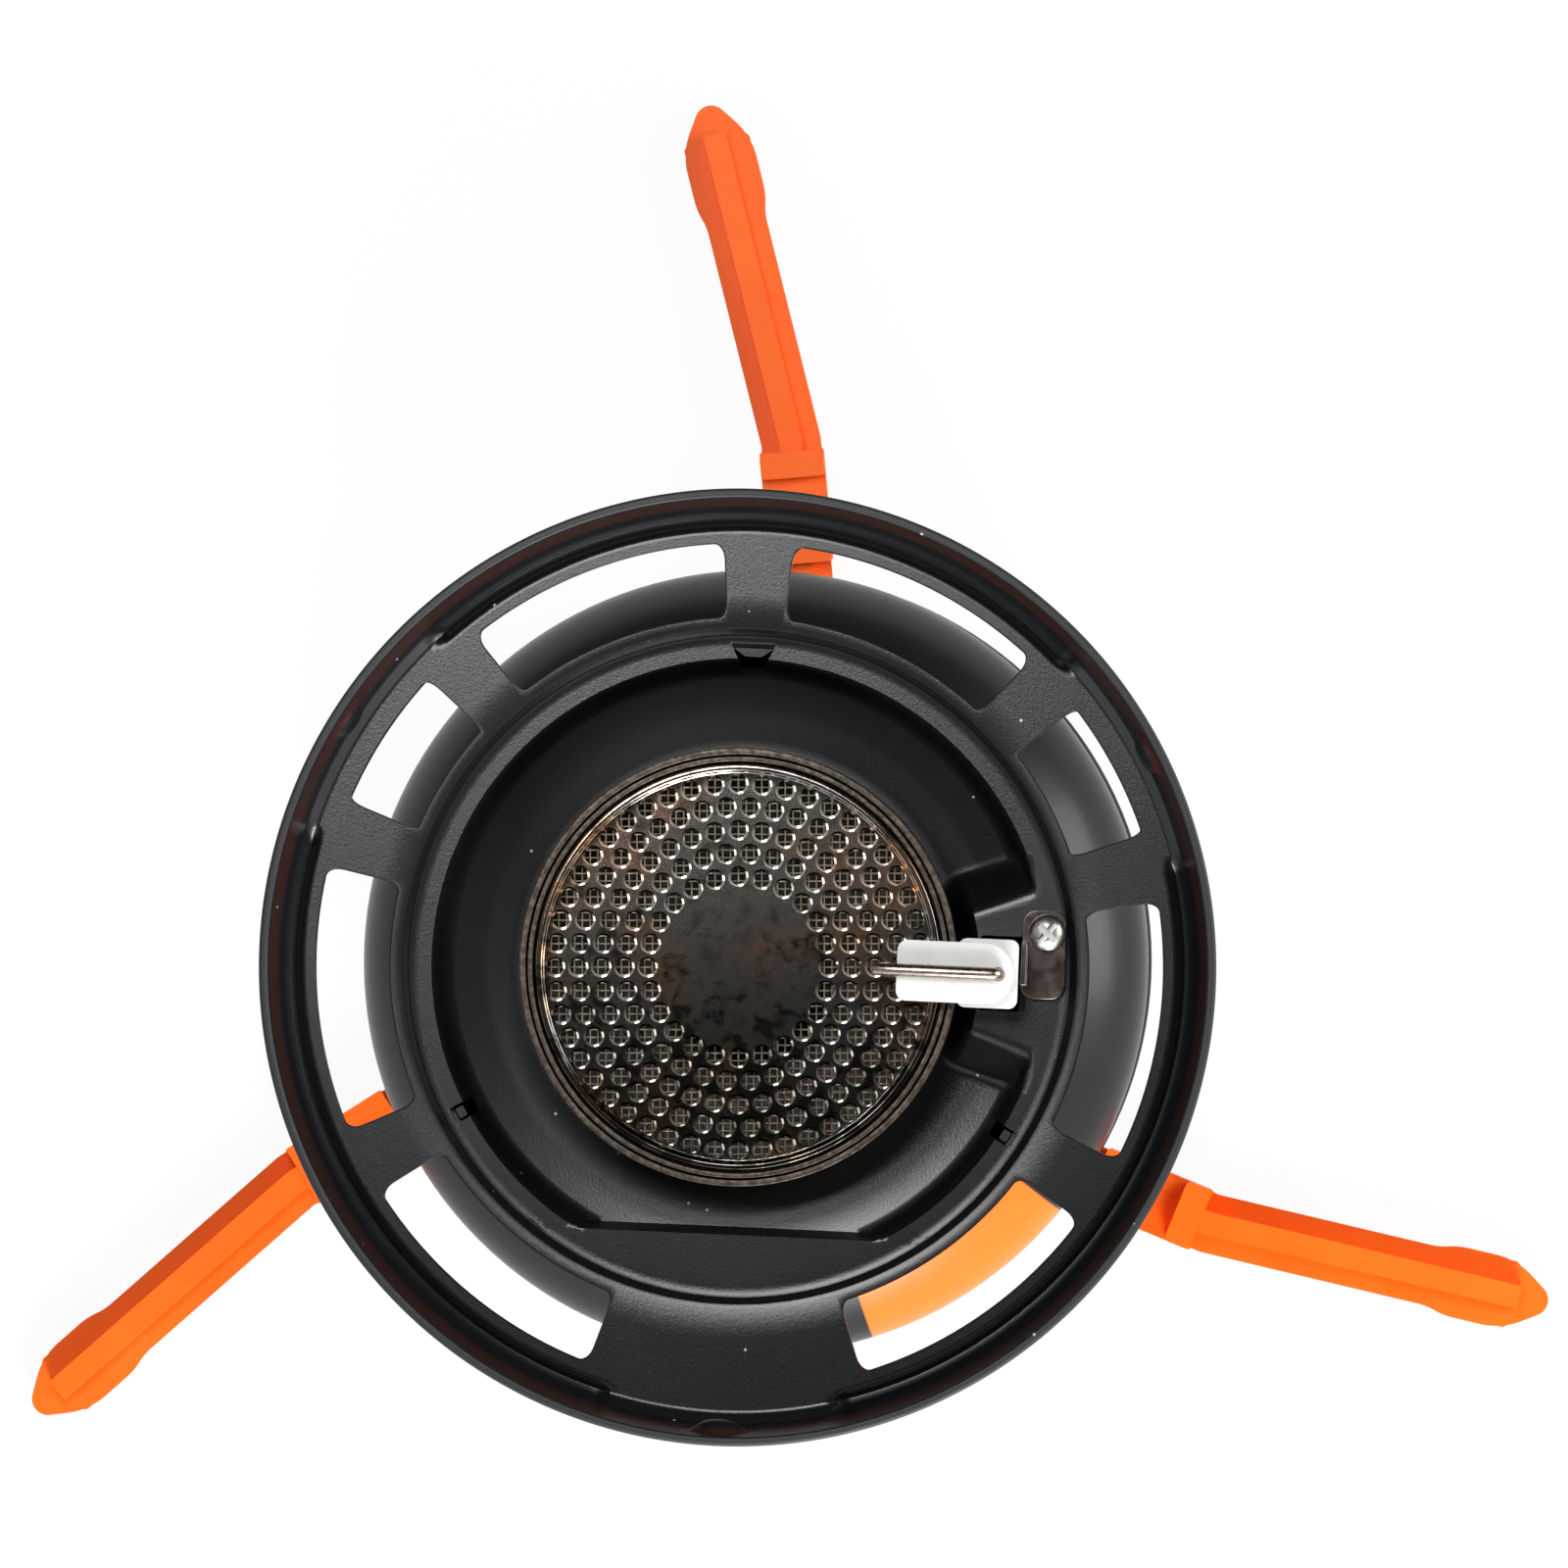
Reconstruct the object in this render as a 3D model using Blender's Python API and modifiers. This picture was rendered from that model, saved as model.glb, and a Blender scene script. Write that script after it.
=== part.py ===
"""Backpacking stove on a small gas canister, standing on a folding three-leg stabiliser.

Metres, +Z up. The origin is on the ground, on the stove's axis. +Y points to the bridge of the
burner pan that has the wide tab hole, -Y to the valve handle and the igniter button, and +X to
the electrode.
"""

import math

import bmesh
import bpy
from mathutils import Matrix, Vector

# Clearances and cutting
GAP = 0.0003  # left between pieces that touch
OVERRUN = 0.0020  # how far a cutter passes the wall that it cuts
MERGE = 0.00001
PAN_SIDES = 36
ROUND_SIDES = 20
SMALL_SIDES = 12
PIN_SIDES = 10
HEX_SIDES = 6
CAP_HOLE_SIDES = 5
WIRE_STEPS = 2
COIL_STEPS = 1

# Stabiliser: hub, legs and rivets. Places on a leg are measured along its line from the hub
HUB_RADIUS = 0.0225
HUB_THICKNESS = 0.0020
LEG_OFFSET = 0.00805  # from the hub's centre to the line of each leg
LEG_PIVOT = 0.0140
LEG_KINK = 0.0600
LEG_REACH = 0.1004
LEG_BEND = 9.1  # degrees, at the kink
LEG_WIDTH = 0.0070
LEG_THICKNESS = 0.0022
HEAD_WIDTH = 0.0090
HEAD_LENGTH = 0.0140
TIP_LENGTH = 0.0045
TIP_WIDTH = 0.0026
RIB_WIDTH = 0.0027
RIB_HEIGHT = 0.0015
RIB_END = 0.0035  # from the tip
RIB_START = 0.0100  # from the pivot
ROOT_RADIUS = 0.0056
ROOT_INSET = 0.0002  # the round end is this much thinner on each side
REAR_LEG_START = 0.0150
REAR_LEG_ROOT = 0.0045
HOOK_HEIGHT = 0.0026  # above the rib
HOOK_LENGTH = 0.0030
HOOK_WIDTH = 0.0076
HOOK_CLEARANCE = 0.0008
LARGE_CANISTER_RADIUS = 0.0550
FOOT_LENGTH = 0.0110
FOOT_INSET = 0.0006
TRIPOD_TURN = 97.4  # degrees from +X to the rear leg
LEG_SPACING = 120.0
LEG_SWING = 2.7  # degrees by which both side legs stand closer to the rear leg
RIVET_RADIUS = 0.0016
RIVET_HEAD_RADIUS = 0.0030
RIVET_HEAD_HEIGHT = 0.0008

# Gas canister
CANISTER_RADIUS = 0.0450
SEAM_PROUD = 0.0004
SEAM_HEIGHT = 0.0032
SEAM_WIDTH = 0.0018
SHELL_WALL = 0.0006
SHOULDER_HEIGHT = 0.0405  # from the seam's foot to the start of the dome
DOME_HEIGHT = 0.0150
DOME_STEPS = 5
MOUTH_RADIUS = 0.0162
BOTTOM_DEPTH = 0.0050
BOTTOM_WALL = 0.0006
BOTTOM_STEPS = 2
CUP_RIM_RADIUS = 0.0172
CUP_DISH_RADIUS = 0.0148
CUP_RIM_HEIGHT = 0.0024
CUP_WALL = 0.0007
CUP_DEPTH = 0.0056
CUP_GASKET_HEIGHT = 0.0005
CUP_GASKET_WIDTH = 0.0016
NECK_RADIUS = 0.0055
NECK_HEIGHT = 0.0105
NECK_BORE = 0.0022
NECK_FLANGE_RADIUS = 0.0080
NECK_FLANGE_HEIGHT = 0.0014
CHAMBER_RADIUS = 0.0032
CHAMBER_WALL = 0.0016
CHAMBER_DEPTH = 0.0115
CHAMBER_FLOOR = 0.0012
CHAMBER_HOLE = 0.0012
STEM_RADIUS = 0.0015
STEM_HEAD_RADIUS = 0.0026
STEM_HEAD_HEIGHT = 0.0027
STEM_TRAVEL = 0.0010
STEM_GASKET_HEIGHT = 0.0009
STEM_TOP = 0.0020  # below the top of the neck
STEM_WIRE = 0.0003
STEM_TURNS = 3

# Valve body, jet and mixing tube
ADAPTER_RING_HEIGHT = 0.0007
PIN_RADIUS = 0.0009
PIN_HEAD_RADIUS = 0.0023
PIN_HEAD_HEIGHT = 0.0006
SKIRT_RADIUS = 0.0100
SKIRT_FLOOR = 0.0024  # above the floor of the valve cup
THREAD_CLEARANCE = 0.0003
CEILING = 0.0007
BLOCK_RADIUS = 0.0090
BLOCK_HEIGHT = 0.0110
SPINDLE_RISE = 0.0040  # above the skirt
PASSAGE_RADIUS = 0.0014
BOSS_RADIUS = 0.0055
BOSS_REACH = 0.0150
SPINDLE_BORE = 0.0026
SPINDLE_SEAT = 0.0022
STUB_RADIUS = 0.0045
STUB_HEIGHT = 0.0022
JET_RADIUS = 0.0024
JET_SEAT = 0.0020
JET_HEX_RADIUS = 0.0030
JET_HEX_HEIGHT = 0.0018
JET_BORE = 0.0004
TUBE_RADIUS = 0.0060
TUBE_WALL = 0.0012
AIR_HOLE_RADIUS = 0.0013
AIR_HOLE_RISE = 0.0038
TUBE_FLANGE_RADIUS = 0.0090
TUBE_FLANGE_HEIGHT = 0.0010

# Valve spindle and its folding wire handle
SPINDLE_RADIUS = 0.0017
NEEDLE_LENGTH = 0.0050
NEEDLE_TIP = 0.0004
SPINDLE_END = 0.0358  # from the stove's axis
ORING_REACH = 0.0095
ORING_LENGTH = 0.0014
GLAND_RADIUS = 0.0052
GLAND_LENGTH = 0.0042
HANDLE_PIVOT = 0.0372
HANDLE_BLOCK_WIDTH = 0.0070
HANDLE_BLOCK_LENGTH = 0.0070
HANDLE_BLOCK_HEIGHT = 0.0060
HANDLE_WIRE = 0.0009
HANDLE_WIDTH = 0.0210
HANDLE_LENGTH = 0.0122
HANDLE_CORNER = 0.0050
HANDLE_PIN = 0.0022
CORNER_STEPS = 4

# Burner pan: radii of its turned profile and heights above its floor
POCKET_SKIN = 0.0012  # above the pockets under the raised steps
PAN_FLOOR_RISE = 0.0190  # above the top of the valve block
SHEET = 0.0010
RIM_RADIUS = 0.0520
RIM_HEIGHT = 0.0170
WALL_FOOT_RADIUS = 0.0502
WALL_FOOT_HEIGHT = 0.0112
FILLET_RADIUS = 0.0497
FILLET_HEIGHT = 0.0097
DECK_RADIUS = 0.0486
DECK_HEIGHT = 0.0090
STEP_TOP_RADIUS = 0.0369
STEP_FOOT_RADIUS = 0.0360
LEDGE_HEIGHT = 0.0070
LEDGE_RADIUS = 0.0335
WELL_RADIUS = 0.0327
WELL_HEIGHT = 0.0022
FLOOR_EDGE_RADIUS = 0.0318
FLOOR_EDGE_HEIGHT = 0.0016
FLOOR_MIDDLE_RADIUS = 0.0280
FLOOR_MIDDLE_HEIGHT = 0.0007
FLOOR_FLAT_RADIUS = 0.0245
PAN_HOLE_RADIUS = 0.0072
BEAD_INNER = 0.0482
BEAD_OUTER = 0.0497
BEAD_DEPTH = 0.0005
BEAD_CORNER = 0.0006
BEAD_CENTRES = (89.9, 210.0, 330.4)  # degrees
BEAD_ANGLE = 91.0
BEAD_STEPS = 6
WINDOW_STEPS = 4
WINDOW_INNER = 0.0382
WINDOW_OUTER = 0.0462
WINDOW_CORNER = 0.0018
WINDOWS = (
    (30.4, 19.3),
    (67.0, 36.0),
    (112.8, 36.5),
    (149.6, 19.7),
    (187.0, 36.5),
    (233.0, 37.0),
    (307.5, 36.5),
    (353.3, 36.0),
)  # centre and width in degrees
DIMPLE_ANGLES = (30.0, 150.0, 270.0)
DIMPLE_DEPTH = 0.0013
DIMPLE_WIDTH = 0.0050
DIMPLE_LOW = 0.0115
DIMPLE_HIGH = 0.0150
TAB_ANGLES = (90.0, 210.0, 330.0)
TAB_HOLE_INNER = 0.0327
TAB_HOLE_OUTER = 0.0353
WIDE_TAB = 0.0050
WIDE_TAB_FOOT = 0.0024
NARROW_TAB = 0.0018
FRONT_EDGE = 0.0293  # distance of the straight step from the axis
PLATEAU_INNER = 0.0249
PLATEAU_CENTRE = 1.2
PLATEAU_ANGLE = 38.3
PLATEAU_CORNER = 0.0020
SLOT_START = 0.0261
SLOT_END = 0.0314
SLOT_WIDTH = 0.0082

# Burner head
NUT_RADIUS = 0.0110
NUT_HEIGHT = 0.0028
COLLAR_RADIUS = 0.02385
COLLAR_WALL = 0.0007
COLLAR_DROP = 0.0035  # below the rim of the pan
BURNER_CUP_WALL = 0.00045
BURNER_CUP_DROP = 0.0020  # below the collar
BURNER_CUP_FLOOR = 0.0010
CAP_DROP = 0.0007
CAP_THICKNESS = 0.0006
CAP_LIP_WIDTH = 0.0006
CAP_LIP_HEIGHT = 0.0003
CAP_SKIRT = 0.0028
CAP_HOLE_RADIUS = 0.00098
CAP_RING_RADIUS = 0.00987
CAP_RING_PITCH = 0.00252
CAP_RING_COUNTS = (24, 30, 36, 42, 48)
CAP_TURN = 92.5
SCREEN_THICKNESS = 0.0003
SCREEN_PITCH = 0.0045
SCREEN_BAR = 0.0008
SCREEN_BORDER = 0.0006

# Electrode
ELECTRODE_SIDE = 0.0005  # the electrode stands this far to +Y of the axis
SLAB_RISE = 0.0005  # above the collar
SLAB_THICKNESS = 0.0026
SLAB_START = 0.0173
SLAB_END = 0.0298
SLAB_WIDTH = 0.0066
SLAB_CORNER = 0.0012
BASE_START = 0.0243
BASE_END = 0.0303
BASE_WIDTH = 0.0074
STEM_INSET = 0.0005
INSULATOR_DEPTH = 0.0050  # below the ledge's underside
ELECTRODE_RADIUS = 0.00065
ELECTRODE_TIP = 0.0147
ELECTRODE_TIP_DROP = 0.0008
ELECTRODE_SLOPE = 0.0023
ELECTRODE_BEND = 0.0283
ELECTRODE_CURVE = 0.0007
CURVE_SHARES = (0.2, 0.35)
ELECTRODE_BORE = 0.00095
ELECTRODE_PIN = 0.0035  # below the insulator
BRACKET_SHEET = 0.0006
BRACKET_START = 0.0307
BRACKET_END = 0.0355
BRACKET_SIDES = (-0.0021, 0.0076)
BRACKET_FLANGE_SIDE = 0.0040
BRACKET_FLANGE_HEIGHT = 0.0050
BRACKET_CORNER = 0.0015
SCREW_PLACE = (0.0334, 0.0052)
SCREW_RADIUS = 0.0011
SCREW_HEAD_RADIUS = 0.0020
SCREW_HEAD_HEIGHT = 0.0012
SCREW_LENGTH = 0.0055
CROSS_WIDTH = 0.0006
CROSS_LENGTH = 0.0024
CROSS_DEPTH = 0.0007
SCREW_BOSS_RADIUS = 0.0022
SCREW_BOSS_DEPTH = 0.0065

# Lower housing
HOUSING_WALL = 0.0014
HOUSING_MARGIN = 0.0009  # outside the tab holes
HOUSING_TAPER = 0.0014
HOUSING_CURVE = 0.0062
HOUSING_DEPTH = 0.0130  # from the pan's floor to the underside
HOUSING_WAIST_RISE = 0.0075
HOUSING_SHOULDER_RISE = 0.0130
HOUSING_HOLE = 0.0065
VENT_COUNT = 9
VENT_STEP = 24.0
VENT_START = -6.0
VENT_WIDTH = 0.0050
VENT_HEIGHT = 0.0022
VENT_RISE = 0.0036
TAB_DEPTH = 0.0045
TAB_RISE = 0.0003
TAB_ROOT = 0.0014

# Igniter
PIEZO_RADIUS = 0.0045
PIEZO_REAR = 0.0170
PIEZO_MOUTH = 0.0415
PIEZO_BORE = 0.0036
PIEZO_BORE_END = 0.0260
PIEZO_COLLAR_RADIUS = 0.0062
PIEZO_COLLAR_LENGTH = 0.0034
BUTTON_RADIUS = 0.0032
BUTTON_INNER_END = 0.0370
BUTTON_HEAD_RADIUS = 0.0042
BUTTON_HEAD_START = 0.0459
BUTTON_END = 0.0508
BUTTON_ROUND = 0.0008
PIEZO_SPRING_RADIUS = 0.0026
PIEZO_WIRE = 0.0003
PIEZO_TURNS = 5
COIL_POINTS = 8
LEAD_RADIUS = 0.0011
LEAD_STEPS = 2
BOOT_RADIUS = 0.0021
BOOT_LENGTH = 0.0050
BOOT_TIP = 0.0014

# Heights of the stack and radii of the housing, each worked out from what it sits on
LEG_BOTTOM = HUB_THICKNESS + GAP
LEG_TOP = LEG_BOTTOM + LEG_THICKNESS
RIB_TOP = LEG_TOP + RIB_HEIGHT
SEAM_FOOT = RIB_TOP + GAP
SHOULDER = SEAM_FOOT + SHOULDER_HEIGHT
DOME_TOP = SHOULDER + DOME_HEIGHT
CUP_RIM_FOOT = DOME_TOP + GAP + CUP_GASKET_HEIGHT + GAP
CUP_RIM_TOP = CUP_RIM_FOOT + CUP_RIM_HEIGHT
CUP_FLOOR = CUP_RIM_TOP - CUP_DEPTH + CUP_WALL
NECK_TOP = CUP_FLOOR + NECK_HEIGHT
BODY_CEILING = NECK_TOP + GAP + ADAPTER_RING_HEIGHT + GAP
BODY_BOTTOM = CUP_FLOOR + SKIRT_FLOOR
SKIRT_TOP = BODY_CEILING + CEILING
SPINDLE_HEIGHT = SKIRT_TOP + SPINDLE_RISE
BLOCK_TOP = SKIRT_TOP + BLOCK_HEIGHT
TUBE_BOTTOM = BLOCK_TOP + GAP
PAN_FLOOR = BLOCK_TOP + PAN_FLOOR_RISE
LEDGE = PAN_FLOOR + LEDGE_HEIGHT
DECK = PAN_FLOOR + DECK_HEIGHT
RIM_TOP = PAN_FLOOR + RIM_HEIGHT
COLLAR_TOP = RIM_TOP - COLLAR_DROP
CAP_TOP = COLLAR_TOP - CAP_DROP
HOUSING_BOTTOM = PAN_FLOOR - HOUSING_DEPTH
PIEZO_HEIGHT = PAN_FLOOR - SHEET - GAP - PIEZO_RADIUS
SLAB_BOTTOM = COLLAR_TOP + SLAB_RISE
SLAB_TOP = SLAB_BOTTOM + SLAB_THICKNESS
INSULATOR_BOTTOM = LEDGE - SHEET - INSULATOR_DEPTH
HOUSING_RADIUS = TAB_HOLE_OUTER + HOUSING_MARGIN
HOUSING_WAIST = HOUSING_RADIUS - HOUSING_TAPER
HOUSING_FLOOR_RADIUS = HOUSING_RADIUS - HOUSING_CURVE
PIEZO_COLLAR_START = HOUSING_RADIUS + GAP

ORANGE = (0.90, 0.13, 0.008)
BLACK_METAL = (0.012, 0.013, 0.015)
BLACK_PLASTIC = (0.010, 0.010, 0.010)
STEEL = (0.62, 0.60, 0.57)
BRASS = (0.60, 0.42, 0.16)
ALUMINIUM = (0.72, 0.72, 0.73)
CERAMIC = (0.86, 0.86, 0.84)
RUBBER = (0.015, 0.015, 0.015)

for old in list(bpy.data.objects):
    bpy.data.objects.remove(old, do_unlink=True)
parts = bpy.data.collections.new("backpacking_stove")
cutters = bpy.data.collections.new("stove_cutters")
for group in (parts, cutters):
    bpy.context.scene.collection.children.link(group)


def mesh_object(name, bm, group=cutters):
    """A new mesh object made from a bmesh."""
    mesh = bpy.data.meshes.new(name)
    bm.to_mesh(mesh)
    bm.free()
    obj = bpy.data.objects.new(name, mesh)
    group.objects.link(obj)
    return obj


def turned(name, profile, sides, ring=True):
    """A shape turned about Z. The profile lists radius and height, down the outer side first."""
    bm = bmesh.new()
    points = [bm.verts.new((radius, 0, height)) for radius, height in profile]
    for first, second in zip(points, points[1:]):
        bm.edges.new((first, second))
    if ring:
        bm.edges.new((points[-1], points[0]))
    obj = mesh_object(name, bm)
    turn = obj.modifiers.new("turn", "SCREW")
    turn.steps = turn.render_steps = sides
    turn.use_merge_vertices = True
    turn.merge_threshold = MERGE
    return obj


def rod(name, radius, start, end, sides):
    """A straight round bar between two points."""
    bm = bmesh.new()
    along = Vector(end) - Vector(start)
    bmesh.ops.create_cone(
        bm,
        cap_ends=True,
        segments=sides,
        radius1=radius,
        radius2=radius,
        depth=along.length,
    )
    turn = along.to_track_quat("Z", "Y").to_matrix().to_4x4()
    place = Matrix.Translation((Vector(start) + Vector(end)) / 2)
    bmesh.ops.transform(bm, matrix=place @ turn, verts=bm.verts)
    return mesh_object(name, bm)


def block(name, low, high):
    """A box between two opposite corners."""
    bm = bmesh.new()
    bmesh.ops.create_cube(bm, size=1)
    bmesh.ops.scale(bm, vec=Vector(high) - Vector(low), verts=bm.verts)
    bmesh.ops.translate(bm, vec=(Vector(high) + Vector(low)) / 2, verts=bm.verts)
    return mesh_object(name, bm)


def as_mesh(obj, group=cutters):
    """The curve object made a mesh with its caps welded on."""
    bpy.context.view_layer.update()
    graph = bpy.context.evaluated_depsgraph_get()
    mesh = bpy.data.meshes.new_from_object(obj.evaluated_get(graph))
    bm = bmesh.new()
    bm.from_mesh(mesh)
    bmesh.ops.remove_doubles(bm, verts=bm.verts, dist=MERGE)
    bmesh.ops.recalc_face_normals(bm, faces=bm.faces)
    bm.to_mesh(mesh)
    bm.free()
    name = obj.name
    solid = bpy.data.objects.new(name, mesh)
    solid.matrix_world = obj.matrix_world.copy()
    bpy.data.objects.remove(obj, do_unlink=True)
    solid.name = name
    group.objects.link(solid)
    return solid


def plate(name, outline, bottom, top):
    """A flat outline in plan, extruded between two heights."""
    curve = bpy.data.curves.new(name, "CURVE")
    curve.dimensions = "2D"
    curve.fill_mode = "BOTH"
    curve.extrude = (top - bottom) / 2
    spline = curve.splines.new("POLY")
    spline.points.add(len(outline) - 1)
    for point, (x, y) in zip(spline.points, outline):
        point.co = (x, y, 0, 1)
    spline.use_cyclic_u = True
    obj = bpy.data.objects.new(name, curve)
    obj.location.z = (top + bottom) / 2
    cutters.objects.link(obj)
    solid = as_mesh(obj)
    solid.data.transform(solid.matrix_world)
    solid.matrix_world = Matrix()
    return solid


def wire(name, points, radius, detail):
    """A round wire through the points, with filled ends."""
    curve = bpy.data.curves.new(name, "CURVE")
    curve.dimensions = "3D"
    curve.bevel_depth = radius
    curve.bevel_resolution = detail
    curve.use_fill_caps = True
    spline = curve.splines.new("POLY")
    spline.points.add(len(points) - 1)
    for point, place in zip(spline.points, points):
        point.co = (*place, 1)
    obj = bpy.data.objects.new(name, curve)
    cutters.objects.link(obj)
    return as_mesh(obj)


def change(obj, tool, operation):
    """One Boolean step, after which the tool is only a guide."""
    step = obj.modifiers.new(tool.name, "BOOLEAN")
    step.object = tool
    step.operation = operation
    step.solver = "EXACT"
    tool.hide_render = True
    tool.display_type = "WIRE"


def join(obj, *tools):
    for tool in tools:
        change(obj, tool, "UNION")
    return obj


def cut(obj, *tools):
    for tool in tools:
        change(obj, tool, "DIFFERENCE")
    return obj


def carry_tools(obj):
    """Parents a piece's cutting and joining shapes to it, so that they follow when it turns."""
    for step in obj.modifiers:
        if step.type == "BOOLEAN":
            carry_tools(step.object)
            step.object.parent = obj


def turn_about_axis(obj, degrees):
    """The object turned about the stove's axis, applied to its mesh."""
    obj.data.transform(Matrix.Rotation(math.radians(degrees), 4, "Z"))
    return obj


def lie_along_y(obj, height):
    """A shape turned about Z laid down, so that its height runs out along -Y at a height."""
    obj.rotation_euler.x = math.radians(90)
    obj.location.z = height
    return obj


def finish(obj, colour, roughness, metallic):
    """Moves a finished piece to the parts and gives it a material of its own."""
    paint = bpy.data.materials.new(obj.name)
    paint.use_nodes = True
    shader = paint.node_tree.nodes["Principled BSDF"]
    shader.inputs["Base Color"].default_value = (*colour, 1)
    shader.inputs["Roughness"].default_value = roughness
    shader.inputs["Metallic"].default_value = metallic
    obj.data.materials.clear()
    obj.data.materials.append(paint)
    obj.data.shade_smooth()
    obj.data.set_sharp_from_angle(angle=math.radians(35))
    cutters.objects.unlink(obj)
    parts.objects.link(obj)
    return obj


def polar(radius, degrees):
    angle = math.radians(degrees)
    return radius * math.cos(angle), radius * math.sin(angle)


def sector(inner, outer, centre, width, corner, steps=WINDOW_STEPS, corner_steps=3):
    """Plan outline of a curved window: two arcs joined by round corners. Angles in degrees."""
    middle, half = math.radians(centre), math.radians(width) / 2
    corners = []
    for edge, outward, side in ((outer, 1, -1), (outer, 1, 1), (inner, -1, 1), (inner, -1, -1)):
        hub = edge - outward * corner
        angle = middle + side * (half - corner / hub)
        turns = [index / (corner_steps - 1) * math.pi / 2 for index in range(corner_steps)]
        if outward * side < 0:
            turns.reverse()
        corners.append(
            [
                (
                    hub + outward * corner * math.cos(turn),
                    angle + side * corner * math.sin(turn) / hub,
                )
                for turn in turns
            ]
        )
    outline = []
    for index, points in enumerate(corners):
        outline += points
        if index in (0, 2):
            radius, start = points[-1]
            end = corners[index + 1][0][1]
            outline += [
                (radius, start + (end - start) * step / steps) for step in range(1, steps)
            ]
    return [(radius * math.cos(angle), radius * math.sin(angle)) for radius, angle in outline]


def coil(radius, start, end, turns, wire_radius):
    """Points of a spring about Z, and the least gap between neighbouring turns."""
    count = turns * COIL_POINTS
    print("least gap in a coil", (end - start) / turns - 2 * wire_radius)
    return [
        (
            *polar(radius, 360 * index / COIL_POINTS),
            start + (end - start) * index / count,
        )
        for index in range(count + 1)
    ]


def rounded_box(low, high, corner):
    """Plan outline of a rectangle with round corners, counter-clockwise."""
    outline = []
    for x, y, start in (
        (high[0] - corner, high[1] - corner, 0),
        (low[0] + corner, high[1] - corner, 90),
        (low[0] + corner, low[1] + corner, 180),
        (high[0] - corner, low[1] + corner, 270),
    ):
        for step in range(CORNER_STEPS):
            across, up = polar(corner, start + 90 * step / (CORNER_STEPS - 1))
            outline.append((x + across, y + up))
    return outline


def on_leg(along, across):
    """Plan place of a point given along and across the line of the rear leg, before it is turned."""
    bend = math.radians(LEG_BEND)
    if along <= LEG_KINK:
        x = along - across * math.tan(bend / 2) * (along == LEG_KINK)
        return x, across - LEG_OFFSET
    past = along - LEG_KINK
    x = LEG_KINK + past * math.cos(bend) - across * math.sin(bend)
    return x, past * math.sin(bend) + across * math.cos(bend) - LEG_OFFSET


def leg_outline(stations):
    """Closed outline from (distance along the leg, width) stations."""
    left = [on_leg(along, width / 2) for along, width in stations]
    right = [on_leg(along, -width / 2) for along, width in reversed(stations)]
    return left + right


def hook_face(canister_radius):
    """Where along a leg a hook starts, so that it clears a canister of this radius."""
    reach = canister_radius + HOOK_CLEARANCE
    nearest = LEG_OFFSET - HOOK_WIDTH / 2
    return math.sqrt(reach * reach - nearest * nearest)


def leg_solid(name, start):
    """One leg in the rear leg's place: flange, rib, saddle, two hooks for two canisters, a foot."""
    head_start = LEG_REACH - HEAD_LENGTH
    head_shoulder = HEAD_WIDTH - LEG_WIDTH
    tip_start = LEG_REACH - TIP_LENGTH
    leg = plate(
        name,
        leg_outline(
            [
                (start, LEG_WIDTH),
                (LEG_KINK, LEG_WIDTH),
                (head_start, LEG_WIDTH),
                (head_start + head_shoulder, HEAD_WIDTH),
                (tip_start, HEAD_WIDTH),
                (LEG_REACH, TIP_WIDTH),
            ]
        ),
        LEG_BOTTOM,
        LEG_TOP,
    )
    rib_start = max(start, LEG_PIVOT + RIB_START)
    rib = plate(
        name + "_rib",
        leg_outline(
            [
                (rib_start, RIB_WIDTH),
                (LEG_KINK, RIB_WIDTH),
                (LEG_REACH - RIB_END, RIB_WIDTH),
            ]
        ),
        LEG_TOP - LEG_THICKNESS / 2,
        RIB_TOP,
    )
    hooks = []
    for label, radius in (("inner", CANISTER_RADIUS), ("outer", LARGE_CANISTER_RADIUS)):
        face = hook_face(radius)
        hooks.append(
            plate(
                f"{name}_{label}_hook",
                leg_outline([(face, HOOK_WIDTH), (face + HOOK_LENGTH, HOOK_WIDTH)]),
                LEG_TOP - LEG_THICKNESS / 3,
                RIB_TOP + HOOK_HEIGHT,
            )
        )
    saddle_width = LEG_WIDTH - 2 * GAP
    saddle_start = hook_face(CANISTER_RADIUS) + HOOK_LENGTH / 2
    saddle_end = hook_face(LARGE_CANISTER_RADIUS) + HOOK_LENGTH / 2
    saddle = plate(
        name + "_saddle",
        leg_outline([(saddle_start, saddle_width), (saddle_end, saddle_width)]),
        LEG_TOP - LEG_THICKNESS / 4,
        RIB_TOP - ROOT_INSET,
    )
    foot_end = LEG_REACH - FOOT_INSET
    foot = plate(
        name + "_foot",
        leg_outline(
            [
                (LEG_REACH - FOOT_LENGTH, HEAD_WIDTH - 2 * FOOT_INSET),
                (tip_start, HEAD_WIDTH - 2 * FOOT_INSET),
                (foot_end, TIP_WIDTH),
            ]
        ),
        0,
        LEG_BOTTOM + LEG_THICKNESS / 2,
    )
    return join(leg, rib, saddle, *hooks, foot)


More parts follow.
